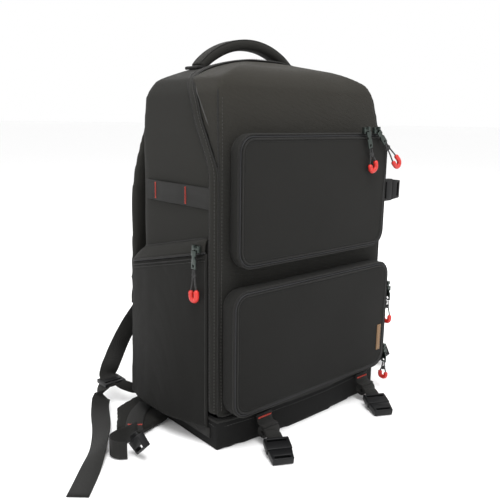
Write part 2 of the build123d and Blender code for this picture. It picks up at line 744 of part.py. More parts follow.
def stand_on(face, origin, lean):
    """A plane on one face of the bag: z outwards, and -y down, leaned across by some degrees."""
    across, outward = FACES[face]
    turned = Vector(*across) * cos(radians(lean)) + Vector(0, 0, sin(radians(lean)))
    return Plane(origin=origin, x_dir=turned, z_dir=outward)


# Each pull: its face, where its puller pivots, its lean in degrees, and how far back its slider reaches.
PULLS = {
    "upper_a": ("front", (80, UPPER_TOP[0], UPPER_TOP[1]), 16, "across"),
    "upper_b": ("front", (101, UPPER_TOP[0], UPPER_TOP[1]), 46, "across"),
    "lower_a": ("right", (LOWER_SIDE[0], LOWER_SIDE[1], 163), 0, "up"),
    "lower_b": ("right", (LOWER_SIDE[0], LOWER_SIDE[1], 66), 0, "up"),
    "left": ("left", (-SIDE_MOUTH_X, SIDE_SLIDER_Y, SIDE_SLIDER_Z), 0, "slope"),
    "right": ("right", (SIDE_MOUTH_X, SIDE_SLIDER_Y, SIDE_SLIDER_Z), 0, "slope"),
}

# Each pull's cord, as steps (across, along) in its own plane: out of the puller's hole and back.
PULL_ROUTES = {
    "upper_a": [(1.4, 1), (2.0, -8), (6.5, -17), (6, -28), (-5, -30), (-6, -19), (-2.2, -9), (-1.4, 1)],
    "upper_b": [(1.4, 1), (2.2, -13), (4.8, -27), (6, -42), (-4.5, -44), (-5.5, -29), (-2.0, -14), (-1.4, 1)],
    "lower_a": [(1.4, 1), (2.0, -9), (6.0, -19), (6, -30), (-5, -31), (-5.6, -20), (-2.0, -9), (-1.4, 1)],
    "lower_b": [(1.4, 1), (1.8, -6), (5.0, -13), (5.4, -22), (-5, -22), (-5.4, -13), (-1.8, -6), (-1.4, 1)],
    "left": [(1.4, 1), (1.7, -11), (4.5, -23), (6, -35), (-5, -37), (-6.0, -25), (-1.7, -12), (-1.4, 1)],
    "right": [(1.4, 1), (1.7, -11), (4.5, -23), (6, -35), (-5, -37), (-6.0, -25), (-1.7, -12), (-1.4, 1)],
}


def cord_points(name, stand):
    """A pull's cord as points in the bag's own frame, from just inside the puller's hole."""
    hole = -PULLER_LENGTH - PIVOT_GAP - 2
    return [tuple(stand.from_local_coords(Vector(x, hole + y, 0))) for x, y in PULL_ROUTES[name]]


def make_slider(face, origin, run):
    """A zip slider behind its puller's pivot, long along the zip, with a bridge over the pivot."""
    notch = Pos(0, SLIDER_WIDTH / 2, 0) * Cylinder(1.6, 2 * SLIDER_HEIGHT)
    body = Box(SLIDER_LENGTH, SLIDER_WIDTH, SLIDER_HEIGHT) - notch
    if run == "up":
        body = Rot(0, 0, 90) * body
    seat = Pos(0, 1, -PIVOT_BACK - SLIDER_HEIGHT / 2)
    bridge_height = PIVOT_BACK + PULLER_THICKNESS
    bridge = Pos(0, PIVOT_GAP + 3.0, -PIVOT_BACK - 0.2 + bridge_height / 2) * Box(3.0, 4.0, bridge_height)
    return stand_on(face, origin, 0) * (seat * body + bridge)


def make_puller(stand):
    """The flat puller, with a waist and a round hole for its cord."""
    plate = Pos(0, -PULLER_LENGTH / 2 - PIVOT_GAP, 0) * Box(PULLER_WIDTH, PULLER_LENGTH, PULLER_THICKNESS)
    hole = Pos(0, -PULLER_LENGTH + 3.0, 0) * Cylinder(PULLER_HOLE / 2, 3 * PULLER_THICKNESS)
    waist = Pos(PULLER_WIDTH / 2 + 1, -PULLER_LENGTH / 2 + 2, 0) * Cylinder(2.6, 3 * PULLER_THICKNESS)
    return stand * (plate - hole - waist - waist.mirror(Plane.YZ))


def make_sleeve(points):
    """The soft red sleeve round the lowest bend of a pull's cord."""
    low = [Vector(*p) for p in points[2:6]]
    first = low[0] + (low[1] - low[0]) * 0.45
    last = low[3] + (low[2] - low[3]) * 0.45
    bend = [tuple(first), tuple(low[1]), tuple(low[2]), tuple(last)]
    path = FilletPolyline(*bend, radius=cord_radii(points[2:6]))
    start = Plane(origin=path @ 0, z_dir=path % 0)
    ring = Circle(SLEEVE_DIAMETER / 2) - Circle(CORD_DIAMETER / 2 + CORD_BORE_CLEARANCE)
    return sweep(start * ring, path=path)


def pull_nodes(name):
    """The four pieces of one zip pull: slider, puller, cord and sleeve."""
    face, origin, lean, run = PULLS[name]
    stand = stand_on(face, origin, lean)
    points = cord_points(name, stand)
    print(name, "cord radii", [round(r, 1) for r in cord_radii(points)])
    return {
        name + "_slider": make_slider(face, origin, run),
        name + "_puller": make_puller(stand),
        name + "_cord": tube(points, CORD_DIAMETER),
        name + "_sleeve": make_sleeve(points),
    }


# ---------------------------------------------------------------- every node

def make_all():
    """Every node of the bag by name."""
    wall = bag_wall()
    strap = make_shoulder_strap()
    webbing = Compound(children=[make_strap_webbing(), make_strap_tail_left()])
    webbing_right = Compound(children=[mirrored(make_strap_webbing()), make_strap_tail_right()])
    anchor = make_anchor_webbing()
    lock = make_ladder_lock()
    pocket = make_side_pocket()
    gussets = [
        pocket_gusset(UPPER_HALF_WIDTH, (UPPER_LOW_Z, UPPER_HIGH_Z)),
        pocket_gusset(LOWER_HALF_WIDTH, (LOWER_LOW_Z, LOWER_HIGH_Z)),
    ]
    nodes = {
        "rear_shell": make_rear_shell(wall),
        "base_tub": make_base_tub(),
        "frame_sheet": make_frame_sheet(),
        "laptop_divider": make_laptop_divider(),
        "padded_dividers": Compound(children=[*make_divider_shelves(), make_divider_wall()]),
        "back_pads": Compound(children=[*make_back_pads(), make_lumbar_pad()]),
        "shoulder_strap_left": strap,
        "shoulder_strap_right": mirrored(strap),
        "strap_webbing_left": webbing,
        "strap_webbing_right": webbing_right,
        "anchor_webbing": Compound(children=[anchor, mirrored(anchor)]),
        "ladder_locks": Compound(children=[lock, mirrored(lock)]),
        "sternum_strap": make_sternum_strap(),
        "side_bands": make_side_bands(),
        "lash_webbing": make_lash_webbing(),
        "side_tab": make_side_tab(),
        "side_buckle_socket": make_side_buckle_socket(),
        "side_buckle_tongue": make_side_buckle_tongue(),
        "handle_anchors": make_handle_anchors(),
        "handle": make_handle(),
        "front_panel": make_front_panel(wall),
        "hood": make_hood(wall),
        "pocket_gussets": Compound(children=gussets),
        "upper_lid": pocket_lid(UPPER_HALF_WIDTH, (UPPER_LOW_Z, UPPER_HIGH_Z), UPPER_DEPTH),
        "lower_lid": pocket_lid(LOWER_HALF_WIDTH, (LOWER_LOW_Z, LOWER_HIGH_Z), LOWER_DEPTH),
        "leather_tag": make_leather_tag(),
        "side_pocket_left": pocket,
        "side_pocket_right": mirrored(pocket),
        "lash_buckle_left": make_lash_buckle(LASH_X[0]),
        "lash_buckle_right": make_lash_buckle(LASH_X[1]),
        "hip_wing_left": Compound(children=make_hip_wing()),
        "hip_wing_right": Compound(children=[mirrored(piece) for piece in make_hip_wing()]),
        "hip_buckle_left": make_hip_buckle(False),
        "hip_buckle_right": mirrored(make_hip_buckle(True)),
    }
    for name in PULLS:
        nodes.update(pull_nodes(name))
    return nodes


def main():
    """Write each node to its own STEP file."""
    os.makedirs("parts", exist_ok=True)
    for name, solid in make_all().items():
        export_step(solid, f"parts/{name}.step")


main()
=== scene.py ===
"""The looks of a soft backpack case for a drone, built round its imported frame."""

from math import cos, pi, radians, sin, sqrt

import bmesh
import bpy
from bpy.props import FloatProperty, FloatVectorProperty, PointerProperty
from mathutils import Matrix, Vector, noise
from mathutils.bvhtree import BVHTree


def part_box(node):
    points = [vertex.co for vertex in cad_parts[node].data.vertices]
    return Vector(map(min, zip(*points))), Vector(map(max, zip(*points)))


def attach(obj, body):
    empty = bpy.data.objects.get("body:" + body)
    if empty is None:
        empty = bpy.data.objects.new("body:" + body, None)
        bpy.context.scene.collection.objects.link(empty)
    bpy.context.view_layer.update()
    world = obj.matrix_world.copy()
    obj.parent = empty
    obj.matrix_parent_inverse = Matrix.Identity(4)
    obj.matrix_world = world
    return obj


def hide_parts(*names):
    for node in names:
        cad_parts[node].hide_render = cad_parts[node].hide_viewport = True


bl_info = {
    "name": "Drone Backpack Case",
    "version": (1, 0, 0),
    "blender": (4, 5, 0),
    "location": "View3D > Sidebar > Case",
    "description": "Builds a soft backpack case with zipped pockets, straps and pulls",
    "category": "Object",
}

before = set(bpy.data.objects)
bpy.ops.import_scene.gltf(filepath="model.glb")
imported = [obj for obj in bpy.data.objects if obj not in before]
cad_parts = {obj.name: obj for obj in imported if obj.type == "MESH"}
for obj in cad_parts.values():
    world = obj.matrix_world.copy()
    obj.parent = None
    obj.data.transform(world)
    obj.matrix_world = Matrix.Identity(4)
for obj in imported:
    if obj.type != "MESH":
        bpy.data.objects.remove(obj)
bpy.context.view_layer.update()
MM = 0.001


# ---------------------------------------------------------------- sizes and colours

class CaseSettings(bpy.types.PropertyGroup):
    """Sizes and colours that a user would change."""

    piping: FloatProperty(
        name="Piping", description="Radius of the corded seams", default=1.4 * MM, unit="LENGTH")
    ripple: FloatProperty(
        name="Ripple", description="How far the cloth waves in and out", default=1.1 * MM, unit="LENGTH")
    fill: FloatProperty(
        name="Fill", description="How tightly the pockets are padded", default=0.7, subtype="FACTOR")
    body_colour: FloatVectorProperty(
        name="Body cloth", description="Colour of the main cloth", subtype="COLOR",
        default=(0.0150, 0.0146, 0.0128))
    pocket_colour: FloatVectorProperty(
        name="Pocket cloth", description="Colour of the pocket cloth", subtype="COLOR",
        default=(0.0112, 0.0110, 0.0100))
    pull_colour: FloatVectorProperty(
        name="Pull sleeves", description="Colour of the soft sleeves on the pulls", subtype="COLOR",
        default=(0.50, 0.018, 0.012))
    tab_colour: FloatVectorProperty(
        name="Leather tab", description="Colour of the leather tab", subtype="COLOR",
        default=(0.20, 0.115, 0.055))


def settings():
    """The case's settings in this scene."""
    return bpy.context.scene.drone_case


# ---------------------------------------------------------------- shader maths

class Value:
    """A shader socket that takes part in arithmetic."""

    def __init__(self, shader, socket):
        self.shader = shader
        self.socket = socket

    def _math(self, operation, first, second):
        return self.shader.node("ShaderNodeMath", {"operation": operation}, {0: first, 1: second})

    def __add__(self, other):
        return self._math("ADD", self, other)

    def __radd__(self, other):
        return self._math("ADD", other, self)

    def __sub__(self, other):
        return self._math("SUBTRACT", self, other)

    def __rsub__(self, other):
        return self._math("SUBTRACT", other, self)

    def __mul__(self, other):
        return self._math("MULTIPLY", self, other)

    def __rmul__(self, other):
        return self._math("MULTIPLY", other, self)

    def above(self, level):
        """1 where the value is over a level, else 0."""
        return self._math("GREATER_THAN", self, level)

    def sine(self):
        """The sine of the value."""
        return self.shader.node("ShaderNodeMath", {"operation": "SINE"}, {0: self})


class Shader:
    """A material's node tree, with one method that adds any node."""

    def __init__(self, name):
        self.material = bpy.data.materials.new(name)
        self.material.use_nodes = True
        self.tree = self.material.node_tree
        self.surface = self.tree.nodes["Principled BSDF"]
        self._place = None

    def node(self, kind, options=None, inputs=None, output=0):
        """Adds a node, sets its options, then its sockets, and returns one output as a Value."""
        made = self.tree.nodes.new(kind)
        for key, value in (options or {}).items():
            setattr(made, key, value)
        for key, value in (inputs or {}).items():
            self.feed(made.inputs[key], value)
        return Value(self, made.outputs[output])

    def feed(self, socket, value):
        """Links a Value to a socket, or sets a plain number or colour on it."""
        if isinstance(value, Value):
            self.tree.links.new(value.socket, socket)
        else:
            socket.default_value = value

    def place(self):
        """The object's own x, y and z."""
        if self._place is None:
            coordinates = self.node("ShaderNodeTexCoord", output=3)
            split = self.tree.nodes.new("ShaderNodeSeparateXYZ")
            self.feed(split.inputs[0], coordinates)
            self._place = (coordinates, *[Value(self, split.outputs[i]) for i in range(3)])
        return self._place

    def noise(self, scale, detail=2.0, rough=0.5):
        """Smooth noise at a scale, from 0 to 1."""
        return self.node("ShaderNodeTexNoise", {},
                         {"Vector": self.place()[0], "Scale": scale, "Detail": detail, "Roughness": rough})

    def mix(self, factor, first, second):
        """A colour between two colours."""
        made = self.tree.nodes.new("ShaderNodeMix")
        made.data_type = "RGBA"
        self.feed(made.inputs[0], factor)
        self.feed(made.inputs[6], first)
        self.feed(made.inputs[7], second)
        return Value(self, made.outputs[2])

    def bump(self, height, distance, strength=1.0):
        """A normal that follows a height in metres."""
        return self.node("ShaderNodeBump", {}, {"Height": height, "Distance": distance, "Strength": strength})

    def set(self, **sockets):
        """Sets or links the surface's sockets by name, with underscores for spaces."""
        for key, value in sockets.items():
            self.feed(self.surface.inputs[key.replace("_", " ")], value)
        return self.material


def rgba(colour, gain=1.0):
    """A colour as four numbers."""
    return (colour[0] * gain, colour[1] * gain, colour[2] * gain, 1.0)


MATERIALS = {}


def cloth(name, colour, pitch, depth, rough, sheen, grid=0.0, contrast=0.22, dust_and_top_light=0.0):
    """Woven cloth, darkened low down by painted shade and worn at its high spots, with a grid or a top
    lightened by dust and painted top light if asked.
    """
    sh = Shader(name)
    _, x, y, z = sh.place()
    across = (x + y) * (2 * pi / pitch)
    along = (z + 0.31 * (x - y)) * (2 * pi / pitch)
    weave = across.sine() * along.sine()
    broad = sh.noise(9.0, 3.0)
    fine = sh.noise(420.0, 2.0)
    tone = broad * 0.75 + fine * 0.25
    height = weave * 0.5 + fine * 0.8
    if grid:
        line = (across * (pitch / grid)).sine().above(0.985) + (along * (pitch / grid)).sine().above(0.985)
        height = height + line * 1.5
        tone = tone + line * 0.22
    edge = sh.node("ShaderNodeNewGeometry", output=7)
    wear = (edge - 0.5) * 3.0
    base = sh.mix(tone, rgba(colour, 1 - contrast), rgba(colour, 1 + contrast))
    # painted shade: the cloth is darkened towards the foot, where less light falls; part of the top-to-foot
    # difference is dust fade
    low = sh.node("ShaderNodeClamp", {}, {0: 1 - (z - 0.02) * 3.2})
    base = sh.mix(low * 0.62, base, rgba(colour, 0.2))
    # lighter, warmer top: partly dust fade, partly painted light falling from above
    if dust_and_top_light:
        dusty_lit_top = sh.node("ShaderNodeClamp", {}, {0: (z - 0.34) * 7.0})
        base = sh.mix(dusty_lit_top * dust_and_top_light, base, rgba((colour[0] * 2.0, colour[1] * 1.85, colour[2] * 1.65)))
    worn = sh.mix(sh.node("ShaderNodeClamp", {}, {0: wear}), base, rgba(colour, 1.9))
    return sh.set(
        Base_Color=worn, Roughness=rough + broad * 0.12, Normal=sh.bump(height, depth),
        Sheen_Weight=sheen, Sheen_Roughness=0.45, Specular_IOR_Level=0.14,
    )


def webbing_cloth(name, colour):
    """Ribbed nylon webbing: rows of fine ribs with a slight shine."""
    sh = Shader(name)
    _, x, y, z = sh.place()
    rib = ((x + y) * (2 * pi / 0.0016)).sine() * ((z + 0.4 * (x - y)) * (2 * pi / 0.0022)).sine()
    fine = sh.noise(700.0, 1.0)
    base = sh.mix(rib * 0.25 + fine * 0.7, rgba(colour, 0.7), rgba(colour, 1.5))
    return sh.set(
        Base_Color=base, Roughness=0.62 + fine * 0.15, Normal=sh.bump(rib + fine * 0.4, 0.00025),
        Sheen_Weight=0.04, Specular_IOR_Level=0.2,
    )


def mesh_cloth(name, colour):
    """Spacer mesh: small open cells over foam."""
    sh = Shader(name)
    place = sh.place()[0]
    cells = sh.node("ShaderNodeTexVoronoi", {"feature": "DISTANCE_TO_EDGE"},
                    {"Vector": place, "Scale": 330.0})
    hole = cells.above(0.09)
    broad = sh.noise(12.0, 2.0)
    base = sh.mix(hole * 0.75 + broad * 0.25, rgba(colour, 1.5), rgba(colour, 0.35))
    return sh.set(Base_Color=base, Roughness=0.82, Normal=sh.bump(1 - hole, 0.0005), Sheen_Weight=0.15)


def plastic(name, colour, rough):
    """Moulded plastic with a faint orange-peel grain and rubbed edges."""
    sh = Shader(name)
    grain = sh.noise(900.0, 2.0)
    broad = sh.noise(60.0, 2.0)
    edge = sh.node("ShaderNodeNewGeometry", output=7)
    base = sh.mix(sh.node("ShaderNodeClamp", {}, {0: (edge - 0.52) * 4.0}), rgba(colour), rgba(colour, 3.0))
    return sh.set(
        Base_Color=base, Roughness=rough + broad * 0.14, Normal=sh.bump(grain, 0.00006),
        Specular_IOR_Level=0.24,
    )


def metal(name, colour):
    """Gunmetal plate, satin, with fine scratches and brighter rubbed edges."""
    sh = Shader(name)
    scratch = sh.noise(1500.0, 3.0, 0.7)
    broad = sh.noise(90.0, 2.0)
    edge = sh.node("ShaderNodeNewGeometry", output=7)
    base = sh.mix(sh.node("ShaderNodeClamp", {}, {0: (edge - 0.5) * 3.0}), rgba(colour), rgba(colour, 1.9))
    return sh.set(Base_Color=base, Metallic=0.9, Roughness=0.3 + broad * 0.2,
                  Normal=sh.bump(scratch, 0.00004))


def rubber(name, colour):
    """Soft silicone: satin, slightly translucent in tone, with small dust marks."""
    sh = Shader(name)
    broad = sh.noise(140.0, 3.0)
    base = sh.mix(broad, rgba(colour, 0.8), rgba(colour, 1.18))
    return sh.set(
        Base_Color=base, Roughness=0.34 + broad * 0.2, Normal=sh.bump(sh.noise(800.0), 0.00008),
        Subsurface_Weight=0.08, Subsurface_Scale=0.002,
    )


def leather(name, colour):
    """Waxed leather: pebbled grain and darker pores."""
    sh = Shader(name)
    place = sh.place()[0]
    grain = sh.node("ShaderNodeTexVoronoi", {"feature": "F1"}, {"Vector": place, "Scale": 900.0})
    broad = sh.noise(70.0, 4.0)
    base = sh.mix(broad * 0.6 + grain * 0.4, rgba(colour, 0.62), rgba(colour, 1.35))
    return sh.set(Base_Color=base, Roughness=0.5 + broad * 0.15, Normal=sh.bump(grain, 0.0002),
                  Specular_IOR_Level=0.4)


def braid(name, colour):
    """Braided cord or thread: crossing diagonal strands."""
    sh = Shader(name)
    _, x, y, z = sh.place()
    one = ((x + y + z) * (2 * pi / 0.0011)).sine()
    two = ((z - x - y) * (2 * pi / 0.0011)).sine()
    strand = one * two
    base = sh.mix(strand * 0.5 + 0.5, rgba(colour, 0.6), rgba(colour, 1.5))
    return sh.set(Base_Color=base, Roughness=0.7 + strand * 0.1, Normal=sh.bump(strand, 0.00015),
                  Sheen_Weight=0.1)


def make_materials():
    """Every finish of the case, by name."""
    own = settings()
    body = tuple(own.body_colour)
    pocket = tuple(own.pocket_colour)
    MATERIALS.update({
        "shell_fabric": cloth("shell_cloth", body, 0.0011, 0.00016, 0.78, 0.03),
        "hood_fabric": cloth("front_ripstop", body, 0.0010, 0.00016, 0.74, 0.03, grid=0.0055, dust_and_top_light=0.75),
        "pocket_fabric": cloth("pocket_cloth", pocket, 0.0009, 0.00010, 0.72, 0.02, contrast=0.15),
        "base_fabric": cloth("base_cloth", (0.0078, 0.0078, 0.0076), 0.0016, 0.00024, 0.78, 0.02),
        "webbing": webbing_cloth("webbing", (0.0095, 0.0092, 0.0083)),
        "mesh_pad": mesh_cloth("spacer_mesh", (0.016, 0.016, 0.016)),
        "lining": cloth("lining_cloth", (0.085, 0.085, 0.09), 0.0014, 0.0002, 0.85, 0.3),
        "pull_cord": braid("pull_cord_braid", (0.012, 0.012, 0.012)),
        "red_thread": braid("red_thread", (0.72, 0.06, 0.035)),
        "dark_thread": braid("dark_thread", (0.026, 0.025, 0.023)),
        "zip_tape": webbing_cloth("zip_tape", (0.012, 0.012, 0.012)),
        "zip_coil": plastic("zip_coil", (0.012, 0.012, 0.013), 0.4),
        "buckle_plastic": plastic("buckle_plastic", (0.0022, 0.0023, 0.0027), 0.42),
        "stiffener": plastic("stiffener_sheet", (0.07, 0.07, 0.07), 0.5),
        "zip_metal": metal("gunmetal", (0.045, 0.055, 0.05)),
        "red_rubber": rubber("red_silicone", tuple(own.pull_colour)),
        "tan_leather": leather("tan_leather", tuple(own.tab_colour)),
    })


# ---------------------------------------------------------------- mesh helpers

def add_piece(name, mesh, body, finish="webbing", stands_for=()):
    """Puts a mesh in the scene, on its body, in a finish, and hides the CAD parts it stands for."""
    mesh.name = name
    for polygon in mesh.polygons:
        polygon.use_smooth = True
    mesh.materials.clear()
    mesh.materials.append(MATERIALS[finish])
    piece = bpy.data.objects.new(name, mesh)
    bpy.context.scene.collection.objects.link(piece)
    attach(piece, body)
    if stands_for:
        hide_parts(*stands_for)
    return piece


def to_mesh(bm, name="work"):
    """Ends a bmesh as a mesh with outward faces."""
    bmesh.ops.recalc_face_normals(bm, faces=bm.faces)
    mesh = bpy.data.meshes.new(name)
    bm.to_mesh(mesh)
    bm.free()
    return mesh


def with_modifiers(mesh, *stack):
    """The mesh after a stack of (type, settings) modifiers, applied."""
    work = bpy.data.objects.new("work", mesh)
    bpy.context.scene.collection.objects.link(work)
    for kind, options in stack:
        modifier = work.modifiers.new(kind, kind)
        for key, value in options.items():
            setattr(modifier, key, value)
    shaped = work.evaluated_get(bpy.context.evaluated_depsgraph_get())
    result = bpy.data.meshes.new_from_object(shaped)
    bpy.data.objects.remove(work)
    return result


def cad_copy(*nodes):
    """A bmesh of one or more CAD nodes, with their loose triangles joined."""
    bm = bmesh.new()
    for node in nodes:
        bm.from_mesh(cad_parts[node].data)
    bmesh.ops.remove_doubles(bm, verts=bm.verts, dist=1e-5)
    return bm


def ripple_mesh(mesh, depth, size, seed=0.0):
    """Moves a mesh's points in and out along their normals in slow waves."""
    normals = [vertex.normal.copy() for vertex in mesh.vertices]
    for vertex, normal in zip(mesh.vertices, normals):
        vertex.co += normal * noise.noise(vertex.co / size + Vector((seed, seed, seed))) * depth
    mesh.update()


def soft_skin(nodes, voxel, passes, depth=0.0, size=0.07, seed=0.0):
    """CAD walls turned to cloth: remeshed, rounded at every edge and gently rippled."""
    mesh = to_mesh(cad_copy(*nodes))
    mesh = with_modifiers(
        mesh,
        ("REMESH", {"mode": "VOXEL", "voxel_size": voxel}),
        ("SMOOTH", {"factor": 0.5, "iterations": passes}),
    )
    if depth:
        ripple_mesh(mesh, depth, size, seed)
    return mesh


def round_edges(bm, edges, offset, segments=3, clamp=True):
    """Rounds some edges of a bmesh off by an offset."""
    bmesh.ops.bevel(
        bm, geom=edges, offset=offset, offset_type="OFFSET", affect="EDGES", segments=segments, profile=0.5,
        material=-1, clamp_overlap=clamp,
    )


def crisp_copy(node, bevel, segments=2):
    """A hard CAD piece with its flat faces merged and its edges rounded off."""
    bm = cad_copy(node)
    bmesh.ops.dissolve_limit(bm, angle_limit=radians(4), verts=bm.verts, edges=bm.edges)
    sharp = [e for e in bm.edges if len(e.link_faces) == 2 and e.calc_face_angle() > radians(28)]
    round_edges(bm, sharp, bevel, segments)
    return to_mesh(bm)


def smooth_line(points, steps=8):
    """A line of points drawn smoothly through a few, end to end."""
    points = [Vector(p) for p in points]
    padded = [points[0] * 2 - points[1]] + points + [points[-1] * 2 - points[-2]]
    line = []
    for a, b, c, d in zip(padded, padded[1:], padded[2:], padded[3:]):
        for step in range(steps):
            t = step / steps
            line.append(0.5 * ((2 * b) + (c - a) * t + (2 * a - 5 * b + 4 * c - d) * t * t
                               + (3 * b - a - 3 * c + d) * t * t * t))
    line.append(points[-1])
    return line


def bridged(rings, closed=False, caps=True):
    """A bmesh skin over a row of rings of points, with its ends capped."""
    bm = bmesh.new()
    loops = []
    for ring in rings:
        verts = [bm.verts.new(p) for p in ring]
        edges = [bm.edges.new((a, b)) for a, b in zip(verts, verts[1:] + verts[:1])]
        loops.append((verts, edges))
    pairs = list(zip(loops, loops[1:]))
    if closed:
        pairs.append((loops[-1], loops[0]))
    for (first, _), (second, _) in pairs:
        for i in range(len(first)):
            j = (i + 1) % len(first)
            bm.faces.new((first[i], first[j], second[j], second[i]))
    if caps and not closed:
        bm.faces.new(loops[0][0])
        bm.faces.new(list(reversed(loops[-1][0])))
    return bm


def directions(line, closed=False):
    """The direction of travel at each point of a line."""
    count = len(line)
    result = []
    for i in range(count):
        after = line[(i + 1) % count] if closed or i + 1 < count else line[i]
        before = line[i - 1] if closed or i else line[i]
        result.append((after - before).normalized())
    return result


def tube_mesh(line, radius, sides=10, closed=False, wave=0.0, domed=False):
    """A round tube along a line, ribbed by a wave every second point, with domed ends if asked."""
    ways = directions(line, closed)
    side = Vector((0.31, 0.22, 0.92)).cross(ways[0]).normalized()
    rings = []
    last = len(line) - 1
    for i, (point, way) in enumerate(zip(line, ways)):
        side = (side - way * side.dot(way)).normalized()
        top = way.cross(side)
        size = radius + wave * (i % 2)
        if domed:
            size = size * min(1.0, 0.45 + 0.28 * min(i, last - i))
        angles = [2 * pi * k / sides for k in range(sides)]
        rings.append([point + (side * cos(a) + top * sin(a)) * size for a in angles])
    return to_mesh(bridged(rings, closed))


def seam_cord(line, radius):
    """A corded seam: a thin tube with domed ends."""
    return tube_mesh(line, radius, 8, domed=True)


def strap_mesh(stations, width, thickness, steps=8):
    """Flat webbing along (point, across) stations, with rounded selvedges."""
    line = smooth_line([p for p, _ in stations], steps)
    crosses = smooth_line([Vector(a).normalized() for _, a in stations], steps)
    rings = []
    for point, way, across in zip(line, directions(line), crosses):
        across = (across - way * across.dot(way)).normalized()
        lift = way.cross(across)
        half = width / 2
        edge = thickness / 2
        profile = [(-half, 0), (-half + edge, edge), (0, edge * 0.9), (half - edge, edge),
                   (half, 0), (half - edge, -edge), (0, -edge * 0.9), (-half + edge, -edge)]
        rings.append([point + across * u + lift * v for u, v in profile])
    return to_mesh(bridged(rings))


def surface_tree(*pieces):
    """A search tree over the surface of some pieces."""
    verts, faces = [], []
    for piece in pieces:
        start = len(verts)
        verts += [v.co.copy() for v in piece.data.vertices]
        faces += [[start + i for i in p.vertices] for p in piece.data.polygons]
    return BVHTree.FromPolygons(verts, faces)


RAY_START = 0.06


def on_surface(tree, line, outward, lift=0.0):
    """Points of a line, moved along a direction until they lie on a surface."""
    laid = []
    for point in line:
        way = Vector(outward(point) if callable(outward) else outward).normalized()
        hit = tree.ray_cast(point + way * RAY_START, -way, 2 * RAY_START)[0]
        laid.append(hit + way * lift if hit is not None else point)
    return laid


def swell(mesh, pin, pressure, cap, voxel):
    """Cloth blown gently out over its filling: pinned where asked, and never moved past a cap."""
    start = with_modifiers(mesh, ("REMESH", {"mode": "VOXEL", "voxel_size": voxel}))
    work = bpy.data.objects.new("swelling", start)
    bpy.context.scene.collection.objects.link(work)
    held = work.vertex_groups.new(name="held")
    held.add([v.index for v in start.vertices if pin(v.co)], 1.0, "REPLACE")
    modifier = work.modifiers.new("Cloth", "CLOTH")
    modifier.settings.use_pressure = True
    modifier.settings.uniform_pressure_force = pressure
    modifier.settings.vertex_group_mass = "held"
    modifier.settings.effector_weights.gravity = 0.0
    modifier.settings.quality = 4
    modifier.settings.tension_stiffness = 25.0
    for number in range(1, 16):
        bpy.context.scene.frame_set(number)
    shaped = work.evaluated_get(bpy.context.evaluated_depsgraph_get())
    result = bpy.data.meshes.new_from_object(shaped)
    for vertex, old in zip(result.vertices, start.vertices):
        step = vertex.co - old.co
        if step.length > cap:
            vertex.co = old.co + step * (cap / step.length)
    bpy.data.objects.remove(work)
    bpy.context.scene.frame_set(1)
    result.update()
    return with_modifiers(
        result, ("SMOOTH", {"factor": 0.5, "iterations": 3}), ("SUBSURF", {"levels": 1, "render_levels": 1}))


def rounded_outline(half_width, low, high, radius, inset=0.0, steps=7):
    """Points (x, z) round a rectangle with round corners, set in by a distance."""
    half, low, high = half_width - inset, low + inset, high - inset
    radius = max(radius - inset, 0.001)
    corners = [(half - radius, low + radius, -90), (half - radius, high - radius, 0),
               (radius - half, high - radius, 90), (radius - half, low + radius, 180)]
    points = []
    for x, z, start in corners:
        for step in range(steps + 1):
            angle = radians(start + 90 * step / steps)
            points.append((x + radius * cos(angle), z + radius * sin(angle)))
    return points


def evenly(line, gap, closed=False):
    """The same line as points a given distance apart."""
    points = line + [line[0]] if closed else list(line)
    result = [points[0]]
    carried = 0.0
    for a, b in zip(points, points[1:]):
        length = (b - a).length
        at = gap - carried
        while at <= length:
            result.append(a.lerp(b, at / length))
            at += gap
        carried = length - (at - gap)
    if closed and (result[-1] - result[0]).length < gap * 0.5:
        result.pop()
    return result


def joined(meshes):
    """Several meshes as one."""
    bm = bmesh.new()
    for mesh in meshes:
        bm.from_mesh(mesh)
        bpy.data.meshes.remove(mesh)
    return to_mesh(bm)


STITCH = 2.6 * MM
STITCH_PITCH = 4.2 * MM
THREAD = 0.42 * MM


def stitches(line, closed=False):
    """A row of thread stitches along a line, each a short dash with rounded ends."""
    spots = evenly(line, STITCH_PITCH, closed)
    dashes = []
    for a, b in zip(spots, spots[1:]):
        way = (b - a).normalized()
        dash = [a + way * STITCH * t for t in (0, 0.2, 0.5, 0.8, 1)]
        dashes.append(tube_mesh(dash, THREAD, 6, domed=True))
    return joined(dashes)


def bar_tack(centre, along, across, length, width):
    """Dense zigzag stitching, as one thread worked to and fro."""
    turns = int(length / (0.9 * MM))
    line = []
    for i in range(turns + 1):
        line.append(centre + along * (i / turns - 0.5) * length + across * width * (0.5 if i % 2 else -0.5))
    return tube_mesh(line, 0.55 * MM, 6)


def slab_mesh(outline, y_back, y_front, bevel):
    """A flat panel facing the front, with a rounded front edge."""
    bm = bmesh.new()
    back = bm.faces.new([bm.verts.new((x, y_back, z)) for x, z in outline])
    front = bmesh.ops.extrude_face_region(bm, geom=[back])["geom"]
    moved = [g for g in front if isinstance(g, bmesh.types.BMVert)]
    bmesh.ops.translate(bm, verts=moved, vec=(0, y_front - y_back, 0))
    bmesh.ops.recalc_face_normals(bm, faces=bm.faces)
    rim = [e for e in bm.edges if all(abs(v.co.y - y_front) < 1e-6 for v in e.verts)]
    round_edges(bm, rim, bevel, clamp=False)
    return to_mesh(bm)


def rim_distance(point, half_width, low, high, radius):
    """How far a point lies inside a rounded rectangle's edge, seen from the front."""
    x = max(abs(point.x) - (half_width - radius), 0.0)
    z = max(abs(point.z - (low + high) / 2) - ((high - low) / 2 - radius), 0.0)
    outer = radius - sqrt(x * x + z * z)
    return min(outer, half_width - abs(point.x), (high - low) / 2 - abs(point.z - (low + high) / 2))


